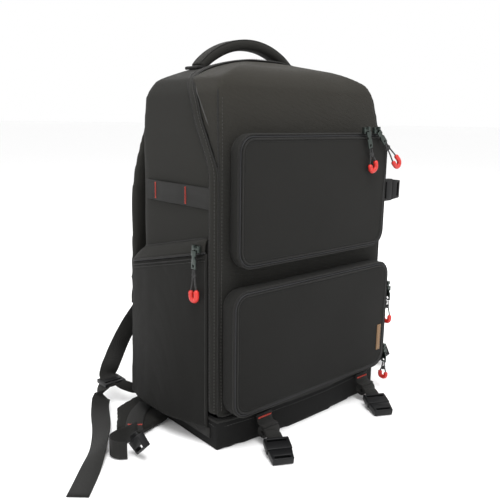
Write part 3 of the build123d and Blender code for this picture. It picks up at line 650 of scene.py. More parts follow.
def island_copy(node, keep):
    """A bmesh of the loose parts of a CAD node whose points all pass a test."""
    bm = cad_copy(node)
    left = set(bm.verts)
    while left:
        group = {left.pop()}
        edge = list(group)
        while edge:
            vert = edge.pop()
            for near in (e.other_vert(vert) for e in vert.link_edges):
                if near in left:
                    left.remove(near)
                    group.add(near)
                    edge.append(near)
        if not all(keep(v.co) for v in group):
            bmesh.ops.delete(bm, geom=list(group), context="VERTS")
    return bm


# ---------------------------------------------------------------- camera, light and floor

CAMERA_PLACE = (-0.5643, -0.6201, 0.3974)
CAMERA_TURN = 41.0
CAMERA_DIP = 12.1
CAMERA_ROLL = 0.8
CAMERA_LENS = 43.6


def place_camera():
    """The camera, at the front left and a little above."""
    turn, dip, roll = radians(CAMERA_TURN), radians(CAMERA_DIP), radians(CAMERA_ROLL)
    ahead = Vector((sin(turn) * cos(dip), cos(turn) * cos(dip), -sin(dip)))
    right = ahead.cross(Vector((0, 0, 1))).normalized()
    up = right.cross(ahead)
    across = right * cos(roll) + up * sin(roll)
    top = up * cos(roll) - right * sin(roll)
    data = bpy.data.cameras.new("camera")
    data.lens = CAMERA_LENS
    data.clip_start = 0.01
    camera = bpy.data.objects.new("camera", data)
    camera.matrix_world = Matrix.Translation(CAMERA_PLACE) @ Matrix((across, top,
                                                                     -ahead)).transposed().to_4x4()
    bpy.context.scene.collection.objects.link(camera)
    bpy.context.scene.camera = camera


LIGHTS = (
    ("key", (-0.5, -0.7, 2.1), 1.2, 40),
    ("front_fill", (0.7, -2.4, 1.2), 2.0, 9),
    ("side_fill", (-2.4, 0.3, 1.2), 2.0, 8),
    ("back_rim", (0.9, 1.9, 1.8), 1.6, 22),
)


def place_lights():
    """Soft square lamps round a pale surround."""
    for name, place, size, power in LIGHTS:
        data = bpy.data.lights.new(name, "AREA")
        data.size = size
        data.energy = power
        lamp = bpy.data.objects.new(name, data)
        aim = (Vector((0, 0, 0.25)) - Vector(place)).to_track_quat("-Z", "Y")
        lamp.matrix_world = Matrix.Translation(place) @ aim.to_matrix().to_4x4()
        bpy.context.scene.collection.objects.link(lamp)
    world = bpy.data.worlds.new("surround")
    world.use_nodes = True
    world.node_tree.nodes["Background"].inputs[0].default_value = (1, 1, 1, 1)
    world.node_tree.nodes["Background"].inputs[1].default_value = 1.0
    bpy.context.scene.world = world
    bpy.context.scene.view_settings.view_transform = "Standard"


def place_floor():
    """A plain pale floor."""
    bm = bmesh.new()
    bmesh.ops.create_grid(bm, x_segments=2, y_segments=2, size=60.0)
    floor = bpy.data.objects.new("floor", to_mesh(bm, "floor"))
    floor.data.materials.append(Shader("floor_white").set(Base_Color=(0.97, 0.97, 0.97, 1), Roughness=0.9))
    bpy.context.scene.collection.objects.link(floor)


# ---------------------------------------------------------------- zip pulls

PULL_FACES = {
    "front": ((1, 0, 0), (0, -1, 0)),
    "right": ((0, 1, 0), (1, 0, 0)),
    "left": ((0, -1, 0), (-1, 0, 0)),
}

# Each pull: its face, where its puller pivots in millimetres, and its lean in degrees.
PULLS = {
    "upper_a": ("front", (80, -111.8, 385.4), 16),
    "upper_b": ("front", (101, -111.8, 385.4), 46),
    "lower_a": ("right", (154.5, -104.5, 163), 0),
    "lower_b": ("right", (154.5, -104.5, 66), 0),
    "left": ("left", (-164, -60, 249.48), 0),
    "right": ("right", (164, -60, 249.48), 0),
}

# Each pull's cord, as steps (across, along) in millimetres: out of the puller's hole and back.
PULL_ROUTES = {
    "upper_a": [(1.4, 1), (2.0, -8), (6.5, -17), (6, -28), (-5, -30), (-6, -19), (-2.2, -9), (-1.4, 1)],
    "upper_b": [(1.4, 1), (2.2, -13), (4.8, -27), (6, -42), (-4.5, -44), (-5.5, -29), (-2.0, -14), (-1.4, 1)],
    "lower_a": [(1.4, 1), (2.0, -9), (6.0, -19), (6, -30), (-5, -31), (-5.6, -20), (-2.0, -9), (-1.4, 1)],
    "lower_b": [(1.4, 1), (1.8, -6), (5.0, -13), (5.4, -22), (-5, -22), (-5.4, -13), (-1.8, -6), (-1.4, 1)],
    "left": [(1.4, 1), (1.7, -11), (4.5, -23), (6, -35), (-5, -37), (-6.0, -25), (-1.7, -12), (-1.4, 1)],
    "right": [(1.4, 1), (1.7, -11), (4.5, -23), (6, -35), (-5, -37), (-6.0, -25), (-1.7, -12), (-1.4, 1)],
}
PULL_HOLE = -24.8
CORD_DIAMETER = 2.0 * MM
SLEEVE_RADIUS = 3.1 * MM
SLEEVE_SPAN = (0.25, 0.75)
KNOT_DOWN = 7.0


def pull_stand(name):
    """A pull's pivot and its across, along and outward directions."""
    face, origin, lean = PULLS[name]
    across, outward = PULL_FACES[face]
    outward = Vector(outward)
    across = Vector(across) * cos(radians(lean)) + Vector((0, 0, sin(radians(lean))))
    return Vector(origin) * MM, across, outward.cross(across), outward


def make_cord(name):
    """A pull's cord, as one smooth curve along its route."""
    origin, across, along, _ = pull_stand(name)
    route = [origin + (across * x + along * (PULL_HOLE + y)) * MM for x, y in PULL_ROUTES[name]]
    data = bpy.data.curves.new(name + "_cord_line", "CURVE")
    data.dimensions = "3D"
    data.bevel_resolution = 3
    spline = data.splines.new("NURBS")
    spline.points.add(len(route) - 1)
    for spot, point in zip(spline.points, route):
        spot.co = (*point, 1)
    spline.order_u = 3
    spline.use_endpoint_u = True
    spline.resolution_u = 10
    cord = bpy.data.objects.new(name + "_cord_line", data)
    bpy.context.scene.collection.objects.link(cord)
    line = bpy.data.meshes.new_from_object(cord.evaluated_get(bpy.context.evaluated_depsgraph_get()))
    points = [v.co.copy() for v in line.vertices]
    bpy.data.meshes.remove(line)
    data.bevel_depth = CORD_DIAMETER / 2
    data.materials.append(MATERIALS["pull_cord"])
    return cord, points


def make_knot(name):
    """The overhand knot where both strands of a pull come together."""
    origin, across, along, outward = pull_stand(name)
    middle = origin + along * (PULL_HOLE - KNOT_DOWN) * MM
    line = []
    for step in range(49):
        t = 2 * pi * step / 48
        sideways = across * (sin(t) + 1.6 * sin(2 * t)) * 1.1
        down = along * (cos(t) - 1.6 * cos(2 * t))
        line.append(middle + (sideways + down + outward * sin(3 * t) * 1.1) * MM)
    return tube_mesh(line[:-1], CORD_DIAMETER / 2, 8, closed=True)


def make_pull(name):
    """One zip pull: slider, puller, cord, knot and sleeve."""
    run, pull = name + "_run", name + "_pull"
    add_piece(name + "_slider_body", crisp_copy(name + "_slider", 0.6 * MM), run, "zip_metal",
              stands_for=[name + "_slider"])
    add_piece(name + "_puller_plate", crisp_copy(name + "_puller", 0.4 * MM), pull, "zip_metal",
              stands_for=[name + "_puller"])
    cord, points = make_cord(name)
    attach(cord, pull)
    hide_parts(name + "_cord")
    first, last = (int(len(points) * t) for t in SLEEVE_SPAN)
    sleeve = add_piece(name + "_sleeve_skin",
                       tube_mesh(points[first:last + 1], SLEEVE_RADIUS, 16, domed=True), pull,
                       "red_rubber", stands_for=[name + "_sleeve"])
    knot = add_piece(name + "_knot", make_knot(name), pull, "pull_cord")


# ---------------------------------------------------------------- shell

FRONT_FACE = -88.0 * MM
HALF = 150.0 * MM
BACK_FACE = 88.0 * MM
TOP_HALF = 137.0 * MM
SHOULDER = 430.0 * MM
TAPER_START = 345.0 * MM
FRONT_LEAN = 18.0 * MM
OPENING = [(-82, 44), (-82, 345), (-61, 374), (-40, 402), (-32, 422), (7, 458), (7, 480)]


def make_shell():
    """The rear shell, the front with its hood, and the base, each as soft cloth."""
    depth = settings().ripple
    rear = add_piece("rear_cloth", soft_skin(["rear_shell"], 3.2 * MM, 18, depth, 0.09), "case",
                     "shell_fabric", stands_for=["rear_shell"])
    front = add_piece("front_cloth", soft_skin(["front_panel", "hood"], 2.8 * MM, 8, depth * 1.3, 0.06, 5.0),
                      "front_opening", "hood_fabric", stands_for=["front_panel", "hood"])
    base = add_piece("base_cloth", soft_skin(["base_tub"], 3.0 * MM, 8, depth * 0.7, 0.05, 7.0), "case",
                     "base_fabric", stands_for=["base_tub"])
    return rear, front, base


def opening_y(z):
    """How far back the main zip line is at a height."""
    z = z / MM
    for (y0, z0), (y1, z1) in zip(OPENING, OPENING[1:]):
        if z <= z1:
            return (y0 + (y1 - y0) * max(z - z0, 0) / (z1 - z0)) * MM
    return OPENING[-1][0] * MM


def opening_loop(tree, shift, lift, low=48.0 * MM):
    """The main zip line: up the left side, over the top and down the right, moved back by a shift."""
    left = []
    steps = 64
    for step in range(steps + 1):
        z = low + (425 * MM - low) * step / steps
        start = Vector((-0.3, opening_y(z) + shift, z))
        hit = tree.ray_cast(start, Vector((1, 0, 0)))[0]
        left.append(hit + Vector((-lift, 0, 0)))
    over = []
    for degrees in range(-70, 71, 4):
        way = Vector((sin(radians(degrees)), 0, cos(radians(degrees))))
        y = opening_y(0.46) + shift
        for _ in range(4):
            hit = tree.ray_cast(Vector((0, y, 0.38)) + way * 0.3, -way)[0]
            y = opening_y(hit.z) + shift
        over.append(hit + way * lift)
    right = [Vector((-p.x, p.y, p.z)) for p in reversed(left)]
    line = left + over + right
    for _ in range(3):
        line = [line[0]] + [(a + b * 2 + c) / 4 for a, b, c in zip(line, line[1:], line[2:])] + [line[-1]]
    return line


def make_main_zip():
    """The covered zip round the opening: a flap over it, and the flap's corded and stitched edges."""
    tree = surface_tree(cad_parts["rear_shell"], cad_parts["front_panel"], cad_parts["hood"])
    front = opening_loop(tree, -4.0 * MM, 1.3 * MM)
    middle = opening_loop(tree, 3.0 * MM, 2.4 * MM)
    back = opening_loop(tree, 10.0 * MM, 1.0 * MM)
    flap = [[a, a.lerp(b, 0.5) + (b - a.lerp(c, 0.5)) * 0.3, b, b.lerp(c, 0.5) + (b - a.lerp(c, 0.5)) * 0.3,
             c]
            for a, b, c in zip(front, middle, back)]
    add_piece("zip_flap", sheet_mesh(flap, 1.2 * MM), "case", "shell_fabric")
    edges = joined([seam_cord(front, 1.0 * MM), seam_cord(back, 0.9 * MM)])
    add_piece("zip_flap_cords", edges, "case")
    seams = joined([stitches(opening_loop(tree, 7.6 * MM, 2.3 * MM)),
                    stitches(opening_loop(tree, -1.4 * MM, 2.6 * MM))])
    add_piece("zip_flap_stitches", seams, "case", "dark_thread")


def sheet_mesh(rows, thickness):
    """A cloth strip through rows of points, with a wall thickness."""
    bm = bmesh.new()
    grid = [[bm.verts.new(p) for p in row] for row in rows]
    for a, b in zip(grid, grid[1:]):
        for i in range(len(a) - 1):
            bm.faces.new((a[i], b[i], b[i + 1], a[i + 1]))
    bmesh.ops.recalc_face_normals(bm, faces=bm.faces)
    bmesh.ops.solidify(bm, geom=bm.faces[:], thickness=thickness)
    return to_mesh(bm)


def half_at(z):
    """Half the bag's width at a height."""
    rise = max(z - TAPER_START, 0) / (SHOULDER - TAPER_START)
    return HALF + (TOP_HALF - HALF) * min(rise, 1.0)


def front_at(z):
    """Where the front face is at a height."""
    rise = max(z - TAPER_START, 0) / (SHOULDER - TAPER_START)
    return FRONT_FACE + FRONT_LEAN * min(rise, 1.0)


DARTS = [((140, -28, 436), (149, -64, 392))]


def corner_line(side, low, high):
    """Points up a front corner of the bag."""
    steps = 70
    heights = [low + (high - low) * i / steps for i in range(steps + 1)]
    return [Vector((side * half_at(z), front_at(z), z)) for z in heights]


def make_seams(shell):
    """Corded seams up the front corners and round the foot of the bag, and stitched darts on the hood."""
    _, front, base = shell
    tree = surface_tree(front)
    cords, rows = [], []
    for side in (-1, 1):
        outward = (side, -1, 0)
        line = on_surface(tree, corner_line(side, 50 * MM, 432 * MM), outward)
        cords.append(seam_cord(line, settings().piping))
        beside = [p + Vector((-side * 6 * MM, 0, 0)) for p in corner_line(side, 52 * MM, 425 * MM)]
        rows.append(stitches(on_surface(tree, beside, (0, -1, 0), 0.1 * MM)))
    foot_line = [Vector((x * MM, -0.2, 46.5 * MM)) for x in range(-147, 148, 6)]
    foot_line = [tree.ray_cast(p, Vector((0, 1, 0)))[0] for p in foot_line]
    foot_line = [p + Vector((0, 0.2 * MM, -1.9 * MM)) for p in foot_line if p]
    cords.append(seam_cord(foot_line, 1.9 * MM))
    add_piece("corner_cords", joined(cords), "front_opening")
    add_piece("corner_stitches", joined(rows), "front_opening", "dark_thread")
    darts = []
    for side in (-1, 1):
        for start, end in DARTS:
            line = [Vector(start).lerp(Vector(end), i / 14) * MM for i in range(15)]
            line = [Vector((side * p.x, p.y, p.z)) for p in line]
            darts.append(seam_cord(on_surface(tree, line, (side, -0.5, 0.2), -0.2 * MM), 0.9 * MM))
    add_piece("hood_darts", joined(darts), "front_opening", "dark_thread")
    foot = surface_tree(base)
    ring = []
    for degrees in range(0, 360, 3):
        way = Vector((cos(radians(degrees)), sin(radians(degrees)), 0))
        hit = foot.ray_cast(Vector((0, 0, 0.038)) + way * 0.4, -way)[0]
        ring.append(hit)
    add_piece("base_cord", tube_mesh(ring, 1.6 * MM, 8, closed=True), "case")
    low = [p + Vector((0, 0, -7 * MM)) for p in ring]
    low = [foot.find_nearest(p)[0] for p in low]
    add_piece("base_stitches", stitches(low, closed=True), "case", "dark_thread")


# ---------------------------------------------------------------- front pockets

POCKET_RADIUS = 20 * MM
LID_BACK = -97.8 * MM
PANEL_INSET = 4.2 * MM


def make_pocket(name, body, lid_node):
    """One front pocket: its gusset, zip, padded lid, piping and stitching."""
    low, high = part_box(lid_node)
    half, z0, z1, front = high.x, low.z, high.z, low.y
    room = (half, z0, z1, POCKET_RADIUS)
    lip = front + 2.2 * MM
    profile = ((0, FRONT_FACE - 0.1 * MM), (-1.6 * MM, FRONT_FACE - 3 * MM),
               (-2.2 * MM, (FRONT_FACE + lip) / 2),
               (-1.7 * MM, lip + 1.5 * MM), (-0.9 * MM, lip), (-0.1 * MM, lip + 1.0 * MM),
               (-0.1 * MM, LID_BACK + 1 * MM),
               (2.4 * MM, LID_BACK + 1.5 * MM), (2.4 * MM, FRONT_FACE - 0.1 * MM))
    gusset = [[Vector((x, y, z)) for x, z in rounded_outline(*room, inset)] for inset, y in profile]
    add_piece(name + "_gusset", to_mesh(bridged(gusset, closed=True)), "front_opening", "pocket_fabric")
    rim = [Vector((x, lip, z)) for x, z in rounded_outline(*room, -0.9 * MM)]
    add_piece(name + "_gusset_cord", tube_mesh(rim, 1.3 * MM, 8, closed=True), "front_opening")
    zip_line = [Vector((x, front + 1.9 * MM, z)) for x, z in rounded_outline(*room, 1.5 * MM)]
    coil = tube_mesh(evenly(zip_line, 0.9 * MM, closed=True), 0.9 * MM, 6, closed=True, wave=0.4 * MM)
    add_piece(name + "_zip_coil", coil, body, "zip_coil")
    slab = slab_mesh(rounded_outline(*room, 0.4 * MM), LID_BACK - 1.2 * MM, front, 3.0 * MM)

    def held(point):
        return rim_distance(point, *room) < 9 * MM or point.y > LID_BACK - 3 * MM

    shape = swell(slab, held, 4.0, 3.2 * MM, 4.0 * MM)
    for vertex in shape.vertices:
        if vertex.co.y < front + 3 * MM:
            vertex.co.y += noise.noise(vertex.co / 0.07 + Vector((z0, 0, 0)) * 40) * 1.2 * MM
    shape.update()
    lid = add_piece(name + "_lid_cloth", shape, body, "pocket_fabric", stands_for=[lid_node])
    tree = surface_tree(lid)
    inner = [Vector((x, front, z)) for x, z in rounded_outline(*room, PANEL_INSET)]
    laid = on_surface(tree, evenly(inner, 4 * MM, closed=True), (0, -1, 0), -0.2 * MM)
    add_piece(name + "_panel_cord", tube_mesh(laid, settings().piping, 8, closed=True), body)
    beside = [Vector((x, front, z)) for x, z in rounded_outline(*room, PANEL_INSET + 3.2 * MM)]
    sewn = on_surface(tree, evenly(beside, 4 * MM, closed=True), (0, -1, 0), 0.1 * MM)
    add_piece(name + "_panel_stitches", stitches(sewn, closed=True), body, "zip_tape")


def make_tab():
    """The blank leather tab at the edge of the lower pocket, with its stitching."""
    add_piece("leather_tab", crisp_copy("leather_tag", 0.35 * MM), "lower_pocket_lid", "tan_leather",
              stands_for=["leather_tag"])
    low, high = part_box("leather_tag")
    edge = 1.4 * MM
    y = low.y - 0.1 * MM
    corners = [(low.x + edge, low.z + edge), (high.x - edge, low.z + edge), (high.x - edge, high.z - edge),
               (low.x + edge, high.z - edge)]
    line = [Vector((x, y, z)) for x, z in corners]
    rows = [stitches(evenly([a, b], 1.0 * MM)) for a, b in zip(line, line[1:] + line[:1])]
    add_piece("leather_tab_stitches", joined(rows), "lower_pocket_lid", "dark_thread")


# ---------------------------------------------------------------- side pockets

SIDE_MOUTH = ((-0.0695, 0.2457), (0.0795, 0.2110))
FLAP_RISE = 18 * MM


def side_line(tree, side, lift_z, steps=26, lift=0.0):
    """The slanted mouth of a side pocket, drawn on a surface from front to back."""
    (y0, z0), (y1, z1) = SIDE_MOUTH
    line = [Vector((side * 0.2, y0 + (y1 - y0) * i / steps,
                    z0 + (z1 - z0) * i / steps + lift_z)) for i in range(steps + 1)]
    hits = [tree.ray_cast(point, Vector((-side, 0, 0)))[0] for point in line]
    return [hit + Vector((side * lift, 0, 0)) for hit in hits if hit]


def make_side_pocket(side, word, shell):
    """One side pocket: its bowed cloth, the slanted flap over its zip, the coil, and its seams."""
    node, body = "side_pocket_" + word, "pocket_" + word
    skin = soft_skin([node], 1.9 * MM, 5)
    normals = [v.normal.copy() for v in skin.vertices]
    low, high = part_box(node)
    for vertex, normal in zip(skin.vertices, normals):
        place = vertex.co
        fade = min(1.0, max(0.0, (high.z - place.z) / 0.03)) * min(1.0, max(0.0, (place.y - low.y) / 0.02))
        folds = noise.noise(Vector((place.y / 0.05, place.z / 0.13, 2.0 + side)))
        small = noise.noise(Vector((place.y / 0.02, place.z / 0.045, 7.0)))
        vertex.co += normal * (folds * 1.6 + small * 0.5) * MM * fade
    skin.update()
    cloth_piece = add_piece(word + "_pocket_cloth", skin, body, "pocket_fabric", stands_for=[node])
    tree = surface_tree(cloth_piece)
    bag = surface_tree(shell)
    hem = side_line(tree, side, -5 * MM, lift=0.5 * MM)
    add_piece(word + "_pocket_hem", seam_cord(hem, 1.1 * MM), body)
    add_piece(word + "_pocket_stitches", stitches(side_line(tree, side, -9 * MM, lift=0.3 * MM)), body,
              "dark_thread")
    top = side_line(bag, side, FLAP_RISE, lift=0.6 * MM)
    under = side_line(tree, side, -5 * MM)
    low_edge = [Vector((p.x + side * 1.4 * MM, q.y, q.z + 1.5 * MM - FLAP_RISE)) for p, q in zip(under, top)]
    rows = []
    for a, b in zip(top, low_edge):
        middle = a.lerp(b, 0.5) + Vector((side * 2.0 * MM, 0, 0))
        rows.append([a, a.lerp(middle, 0.5) + Vector((side * 1.2 * MM, 0, 0)), middle, middle.lerp(b, 0.6),
                     b])
    add_piece(word + "_pocket_flap", sheet_mesh(rows, 1.3 * MM), "case", "shell_fabric")
    add_piece(word + "_flap_cords", joined([seam_cord(top, 1.2 * MM), seam_cord(low_edge, 1.1 * MM)]),
              "case")
    coil = [p + Vector((-side * 1.5 * MM, 0, -1.0 * MM)) for p in evenly(low_edge, 1.0 * MM)]
    add_piece(word + "_pocket_zip_coil", tube_mesh(coil, 1.0 * MM, 6, wave=0.4 * MM), "case", "zip_coil")
    front = [Vector((side * 0.2, low.y + 2.5 * MM,
                     low.z + 4 * MM + (high.z - low.z - 12 * MM) * i / 40)) for i in range(41)]
    edge = [tree.ray_cast(p, Vector((-side, 0, 0)))[0] for p in front]
    edge = [p for p in edge if p]
    add_piece(word + "_pocket_edge", seam_cord(edge, 1.2 * MM), body)


# ---------------------------------------------------------------- handle

HANDLE_Y = 42 * MM
HANDLE_RADIUS = 116 * MM
HANDLE_CROWN = 497 * MM
HANDLE_SWEEP = 45.0


def make_handle():
    """The padded handle over the top: a wrapped arch, its seam cords and stitching, and its sewn tabs."""
    rings, left, right = [], [], []
    steps = 48
    for i in range(steps + 1):
        turn = HANDLE_SWEEP * (2 * i / steps - 1)
        out = Vector((sin(radians(turn)), 0, cos(radians(turn))))
        centre = Vector((0, HANDLE_Y, HANDLE_CROWN - HANDLE_RADIUS)) + out * HANDLE_RADIUS
        grip = 1 - 0.15 * max(0, abs(turn) / HANDLE_SWEEP - 0.7) / 0.3
        ring = []
        for k in range(20):
            a = 2 * pi * k / 20
            u = (abs(cos(a)) ** 0.6) * (1 if cos(a) > 0 else -1) * 11 * MM
            v = (abs(sin(a)) ** 0.75) * (1 if sin(a) > 0 else -1) * 7.2 * MM * grip
            ring.append(centre + Vector((0, u, 0)) + out * v)
        rings.append(ring)
        left.append(centre + Vector((0, -8.2 * MM, 0)) + out * 6.2 * MM * grip)
        right.append(centre + Vector((0, 8.2 * MM, 0)) + out * 6.2 * MM * grip)
    low = 463 * MM
    mesh = to_mesh(bridged(rings))
    for vertex in mesh.vertices:
        vertex.co.z = max(vertex.co.z, low)
    arch = add_piece("handle_wrap", mesh, "grab_handle", "shell_fabric", ["handle"])
    left = [p for p in left if p.z > low + 2 * MM]
    right = [p for p in right if p.z > low + 2 * MM]
    add_piece("handle_cords", joined([seam_cord(left, 0.9 * MM), seam_cord(right, 0.9 * MM)]),
              "grab_handle")
    inner = [[p + Vector((0, s * 2.6 * MM, 0.6 * MM)) for p in row] for s, row in ((1, left), (-1, right))]
    add_piece("handle_stitches", joined([stitches(row) for row in inner]), "grab_handle", "dark_thread")
    add_piece("handle_tabs", soft_skin(["handle_anchors"], 1.6 * MM, 6), "case",
              stands_for=["handle_anchors"])


# ---------------------------------------------------------------- bands, tacks and lash straps

WEB_WIDTH = 25 * MM
BAND_Z = 309 * MM
TACKS_Y = (-27 * MM, 39 * MM)
LASH_X = (-86 * MM, 106 * MM)
ROLL_Y = -111.5 * MM
ROLL_Z = 17 * MM


def make_bands():
    """The webbing band across each side, bar-tacked in red."""
    bands, tacks = [], []
    for side in (-1, 1):
        x = side * (HALF + 0.9 * MM)
        wave = [(y, 0.9 * MM if abs(y - 6) < 20 else 0.0) for y in (-81, -50, -27, -10, 6, 22, 39, 50, 60)]
        stations = [((x + side * swell, y * MM, BAND_Z), (0, 0, 1)) for y, swell in wave]
        bands.append(strap_mesh(stations, WEB_WIDTH, 1.8 * MM))
        for y in TACKS_Y:
            centre = Vector((side * (HALF + 2.0 * MM), y, BAND_Z))
            tacks.append(bar_tack(centre, Vector((0, 0, 1)), Vector((0, 1, 0)), 20 * MM, 2.4 * MM))
    add_piece("side_band_webbing", joined(bands), "case", stands_for=["side_bands"])
    add_piece("side_band_tacks", joined(tacks), "case", "red_thread")


def make_lash():
    """The rolled lash webbing at the foot of the front, with its red bar tacks."""
    straps, tacks, ties = [], [], []
    for x in LASH_X:
        stations = [((x, -101.2 * MM, 37 * MM), (1, 0, 0)), ((x, -102.5 * MM, 30 * MM), (1, 0, 0)),
                    ((x, -105 * MM, 25.5 * MM), (1, 0, 0))]
        for step in range(34):
            angle = radians(115 - step * 28)
            reach = (8.0 - 5.4 * step / 33) * MM
            stations.append(((x, ROLL_Y + cos(angle) * reach, ROLL_Z + sin(angle) * reach), (1, 0, 0)))
        straps.append(strap_mesh(stations, WEB_WIDTH, 1.5 * MM, 3))
        centre = Vector((x, -103.2 * MM, 33 * MM))
        tacks.append(bar_tack(centre, Vector((1, 0, 0)), Vector((0, 0.2, 1)).normalized(), 21 * MM, 1.6 * MM))
        hanger = [((x - 3 * MM, ROLL_Y - 7.5 * MM, ROLL_Z + 3 * MM), (1, 0.2, 0)),
                  ((x - 4 * MM, ROLL_Y - 12 * MM, ROLL_Z + 0.5 * MM), (0.95, -0.3, 0)),
                  ((x - 6 * MM, ROLL_Y - 20 * MM, 12.5 * MM), (0.9, -0.45, 0))]
        ties.append(strap_mesh(hanger, 20 * MM, 1.5 * MM))
    add_piece("lash_rolls", joined(straps), "case", stands_for=["lash_webbing"])
    add_piece("lash_hangers", joined(ties), "case")
    add_piece("lash_tacks", joined(tacks), "case", "red_thread")


BUCKLES = {
    "side_buckle_socket": "case", "side_buckle_tongue": "buckle_tongue", "lash_buckle_left": "lash_left",
    "lash_buckle_right": "lash_right", "hip_buckle_left": "hip_left", "hip_buckle_right": "hip_right",
    "ladder_locks": "case",
}


def make_buckles():
    """Every moulded buckle, with rounded edges, and the webbing tab of the side one."""
    for node, body in BUCKLES.items():
        add_piece(node + "_body", crisp_copy(node, 1.1 * MM, 3), body, "buckle_plastic", stands_for=[node])
    low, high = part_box("side_tab")
    middle = (low + high) / 2
    tab = [((low.x - 1 * MM, middle.y, middle.z), (0, 0, 1)),
           ((middle.x, middle.y - 0.3 * MM, middle.z), (0, 0, 1)),
           ((high.x + 5 * MM, middle.y, middle.z), (0, 0, 1))]
    add_piece("side_tab_webbing", strap_mesh(tab, high.z - low.z, 1.6 * MM), "case", stands_for=["side_tab"])


# ---------------------------------------------------------------- shoulder straps and back

def mirror_x(stations):
    """Stations on the other side of the bag."""
    return [((-p[0], p[1], p[2]), (-a[0], a[1], a[2])) for p, a in stations]


def in_metres(stations):
    """Stations given in millimetres, in metres."""
    return [((p[0] * MM, p[1] * MM, p[2] * MM), a) for p, a in stations]


STRAP_RUN = [((-124, 130, 133), (1, 0, 0)), ((-132, 145, 104), (1, -0.2, -0.3)),
             ((-150, 147, 74), (0.8, -0.4, -0.6)),
             ((-171, 135, 52), (0.8, -0.5, -0.1)), ((-181, 131, 36), (1, 0, 0)),
             ((-182, 119, 30.5), (1, 0, 0))]
STRAP_TAIL_LEFT = [((-184, 116, 31), (0.3, 1, 0)), ((-196, 114, 26), (0, 1, 0)),
                   ((-214, 92, 9), (0.9, -0.6, 0.2)),
                   ((-236, 46, 5), (0.8, -0.5, 0.3)), ((-262, 4, 6), (0.5, -0.35, 0.28)),
                   ((-292, -32, 1.3), (0.75, -0.65, 0)), ((-322, -66, 1.3), (0.75, -0.65, 0))]
STRAP_TAIL_RIGHT = [((184, 117, 31), (-0.3, 1, 0)), ((198, 118, 24), (0, 1, 0)),
                    ((214, 138, 10), (-1, 0.5, 0)),
                    ((214, 172, 1.3), (-1, -0.3, 0)), ((196, 204, 1.3), (-0.7, -0.7, 0)),
                    ((158, 222, 1.3), (-0.2, -1, 0))]
ANCHOR_RUN = [((-150.9, -74, 18.5), (0, 0, 1)), ((-150.9, -20, 18.5), (0, 0, 1)),
              ((-150.9, 40, 18.5), (0, 0, 1)), ((-151.3, 86, 18.5), (0, 0, 1)),
              ((-162, 94, 22), (0.4, 0, 0.9)),
              ((-178, 106, 30), (1, 0, 0)), ((-180, 110, 30), (1, 0, 0))]


def make_webbing():
    """The adjusting webbing of both shoulder straps, their anchors and loose ends."""
    for word, flip, tail in (("left", list, STRAP_TAIL_LEFT), ("right", mirror_x, STRAP_TAIL_RIGHT)):
        run = strap_mesh(flip(in_metres(STRAP_RUN)), WEB_WIDTH, 1.8 * MM)
        end = strap_mesh(in_metres(tail), WEB_WIDTH, 1.7 * MM)
        add_piece("strap_webbing_" + word + "_run", joined([run, end]), "case",
                  stands_for=["strap_webbing_" + word])
    anchors = [strap_mesh(flip(in_metres(ANCHOR_RUN)), 14 * MM, 1.7 * MM) for flip in (list, mirror_x)]
    add_piece("anchor_webbing_runs", joined(anchors), "case", stands_for=["anchor_webbing"])


def unheld(point):
    """Holds no point of a pad."""
    return False


def pad_from(bm, node, name, body, finish, cap, held=unheld):
    """A foam pad: its CAD solid swollen as cloth."""
    shape = swell(to_mesh(bm), held, 3.0, cap, 4.5 * MM)
    pad = add_piece(name, shape, body, finish, stands_for=[node])
    return pad


def make_back():
    """The back pads, both shoulder straps and the chest strap."""
    def on_back(point):
        return point.y < BACK_FACE + 3 * MM

    def at_top(point):
        return point.z > 420 * MM

    pads = pad_from(cad_copy("back_pads"), "back_pads", "back_pad_foam", "case", "mesh_pad", 3 * MM,
                    on_back)
    tree = surface_tree(pads)
    grooves = []
    for x in (-62, 62):
        for z in (210, 275, 340):
            line = [Vector(((x + d) * MM, 0.12, (z + 0.004 * d * d) * MM)) for d in range(-32, 33, 4)]
            grooves.append(seam_cord(on_surface(tree, line, (0, 1, 0), 0.1 * MM), 1.1 * MM))
    lumbar = [Vector((x * MM, 0.12, 78 * MM)) for x in range(-98, 99, 6)]
    grooves.append(seam_cord(on_surface(tree, lumbar, (0, 1, 0), 0.1 * MM), 1.1 * MM))
    add_piece("back_pad_seams", joined(grooves), "case")
    for word, side in (("left", -1), ("right", 1)):
        node = "shoulder_strap_" + word
        strap = pad_from(cad_copy(node), node, node + "_foam", "case", "shell_fabric", 2.0 * MM, at_top)
        tree = surface_tree(strap)
        centre = [Vector((side * x * MM, 0.16, z * MM)) for x, z in
                  ((74, 410), (92, 370), (107, 320), (116, 270), (119, 230), (122, 190), (125, 150))]
        line = on_surface(tree, smooth_line(centre), (0, 1, 0), 0.7 * MM)
        add_piece(node + "_band", strap_mesh([(p, (1, 0, 0)) for p in line], 20 * MM, 1.5 * MM, 2), "case")
    low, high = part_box("sternum_strap")
    y, z = low.y + 5.4 * MM, (low.z + high.z) / 2
    chest = strap_mesh([((x * MM, y, z), (0, 0, 1)) for x in (-119, -80, -40, 0, 40, 80, 119)], 20 * MM,
                       1.6 * MM)
    add_piece("sternum_webbing", chest, "case", stands_for=["sternum_strap"])
    clips = [block_mesh((0, y + 1.5 * MM, z), (44 * MM, 9 * MM, 26 * MM), 2.5 * MM)]
    clips += [block_mesh((side * 118 * MM, y - 1 * MM, z), (6 * MM, 7 * MM, 24 * MM),
                         1.2 * MM) for side in (-1, 1)]
    add_piece("sternum_clip", joined(clips), "case", "buckle_plastic")


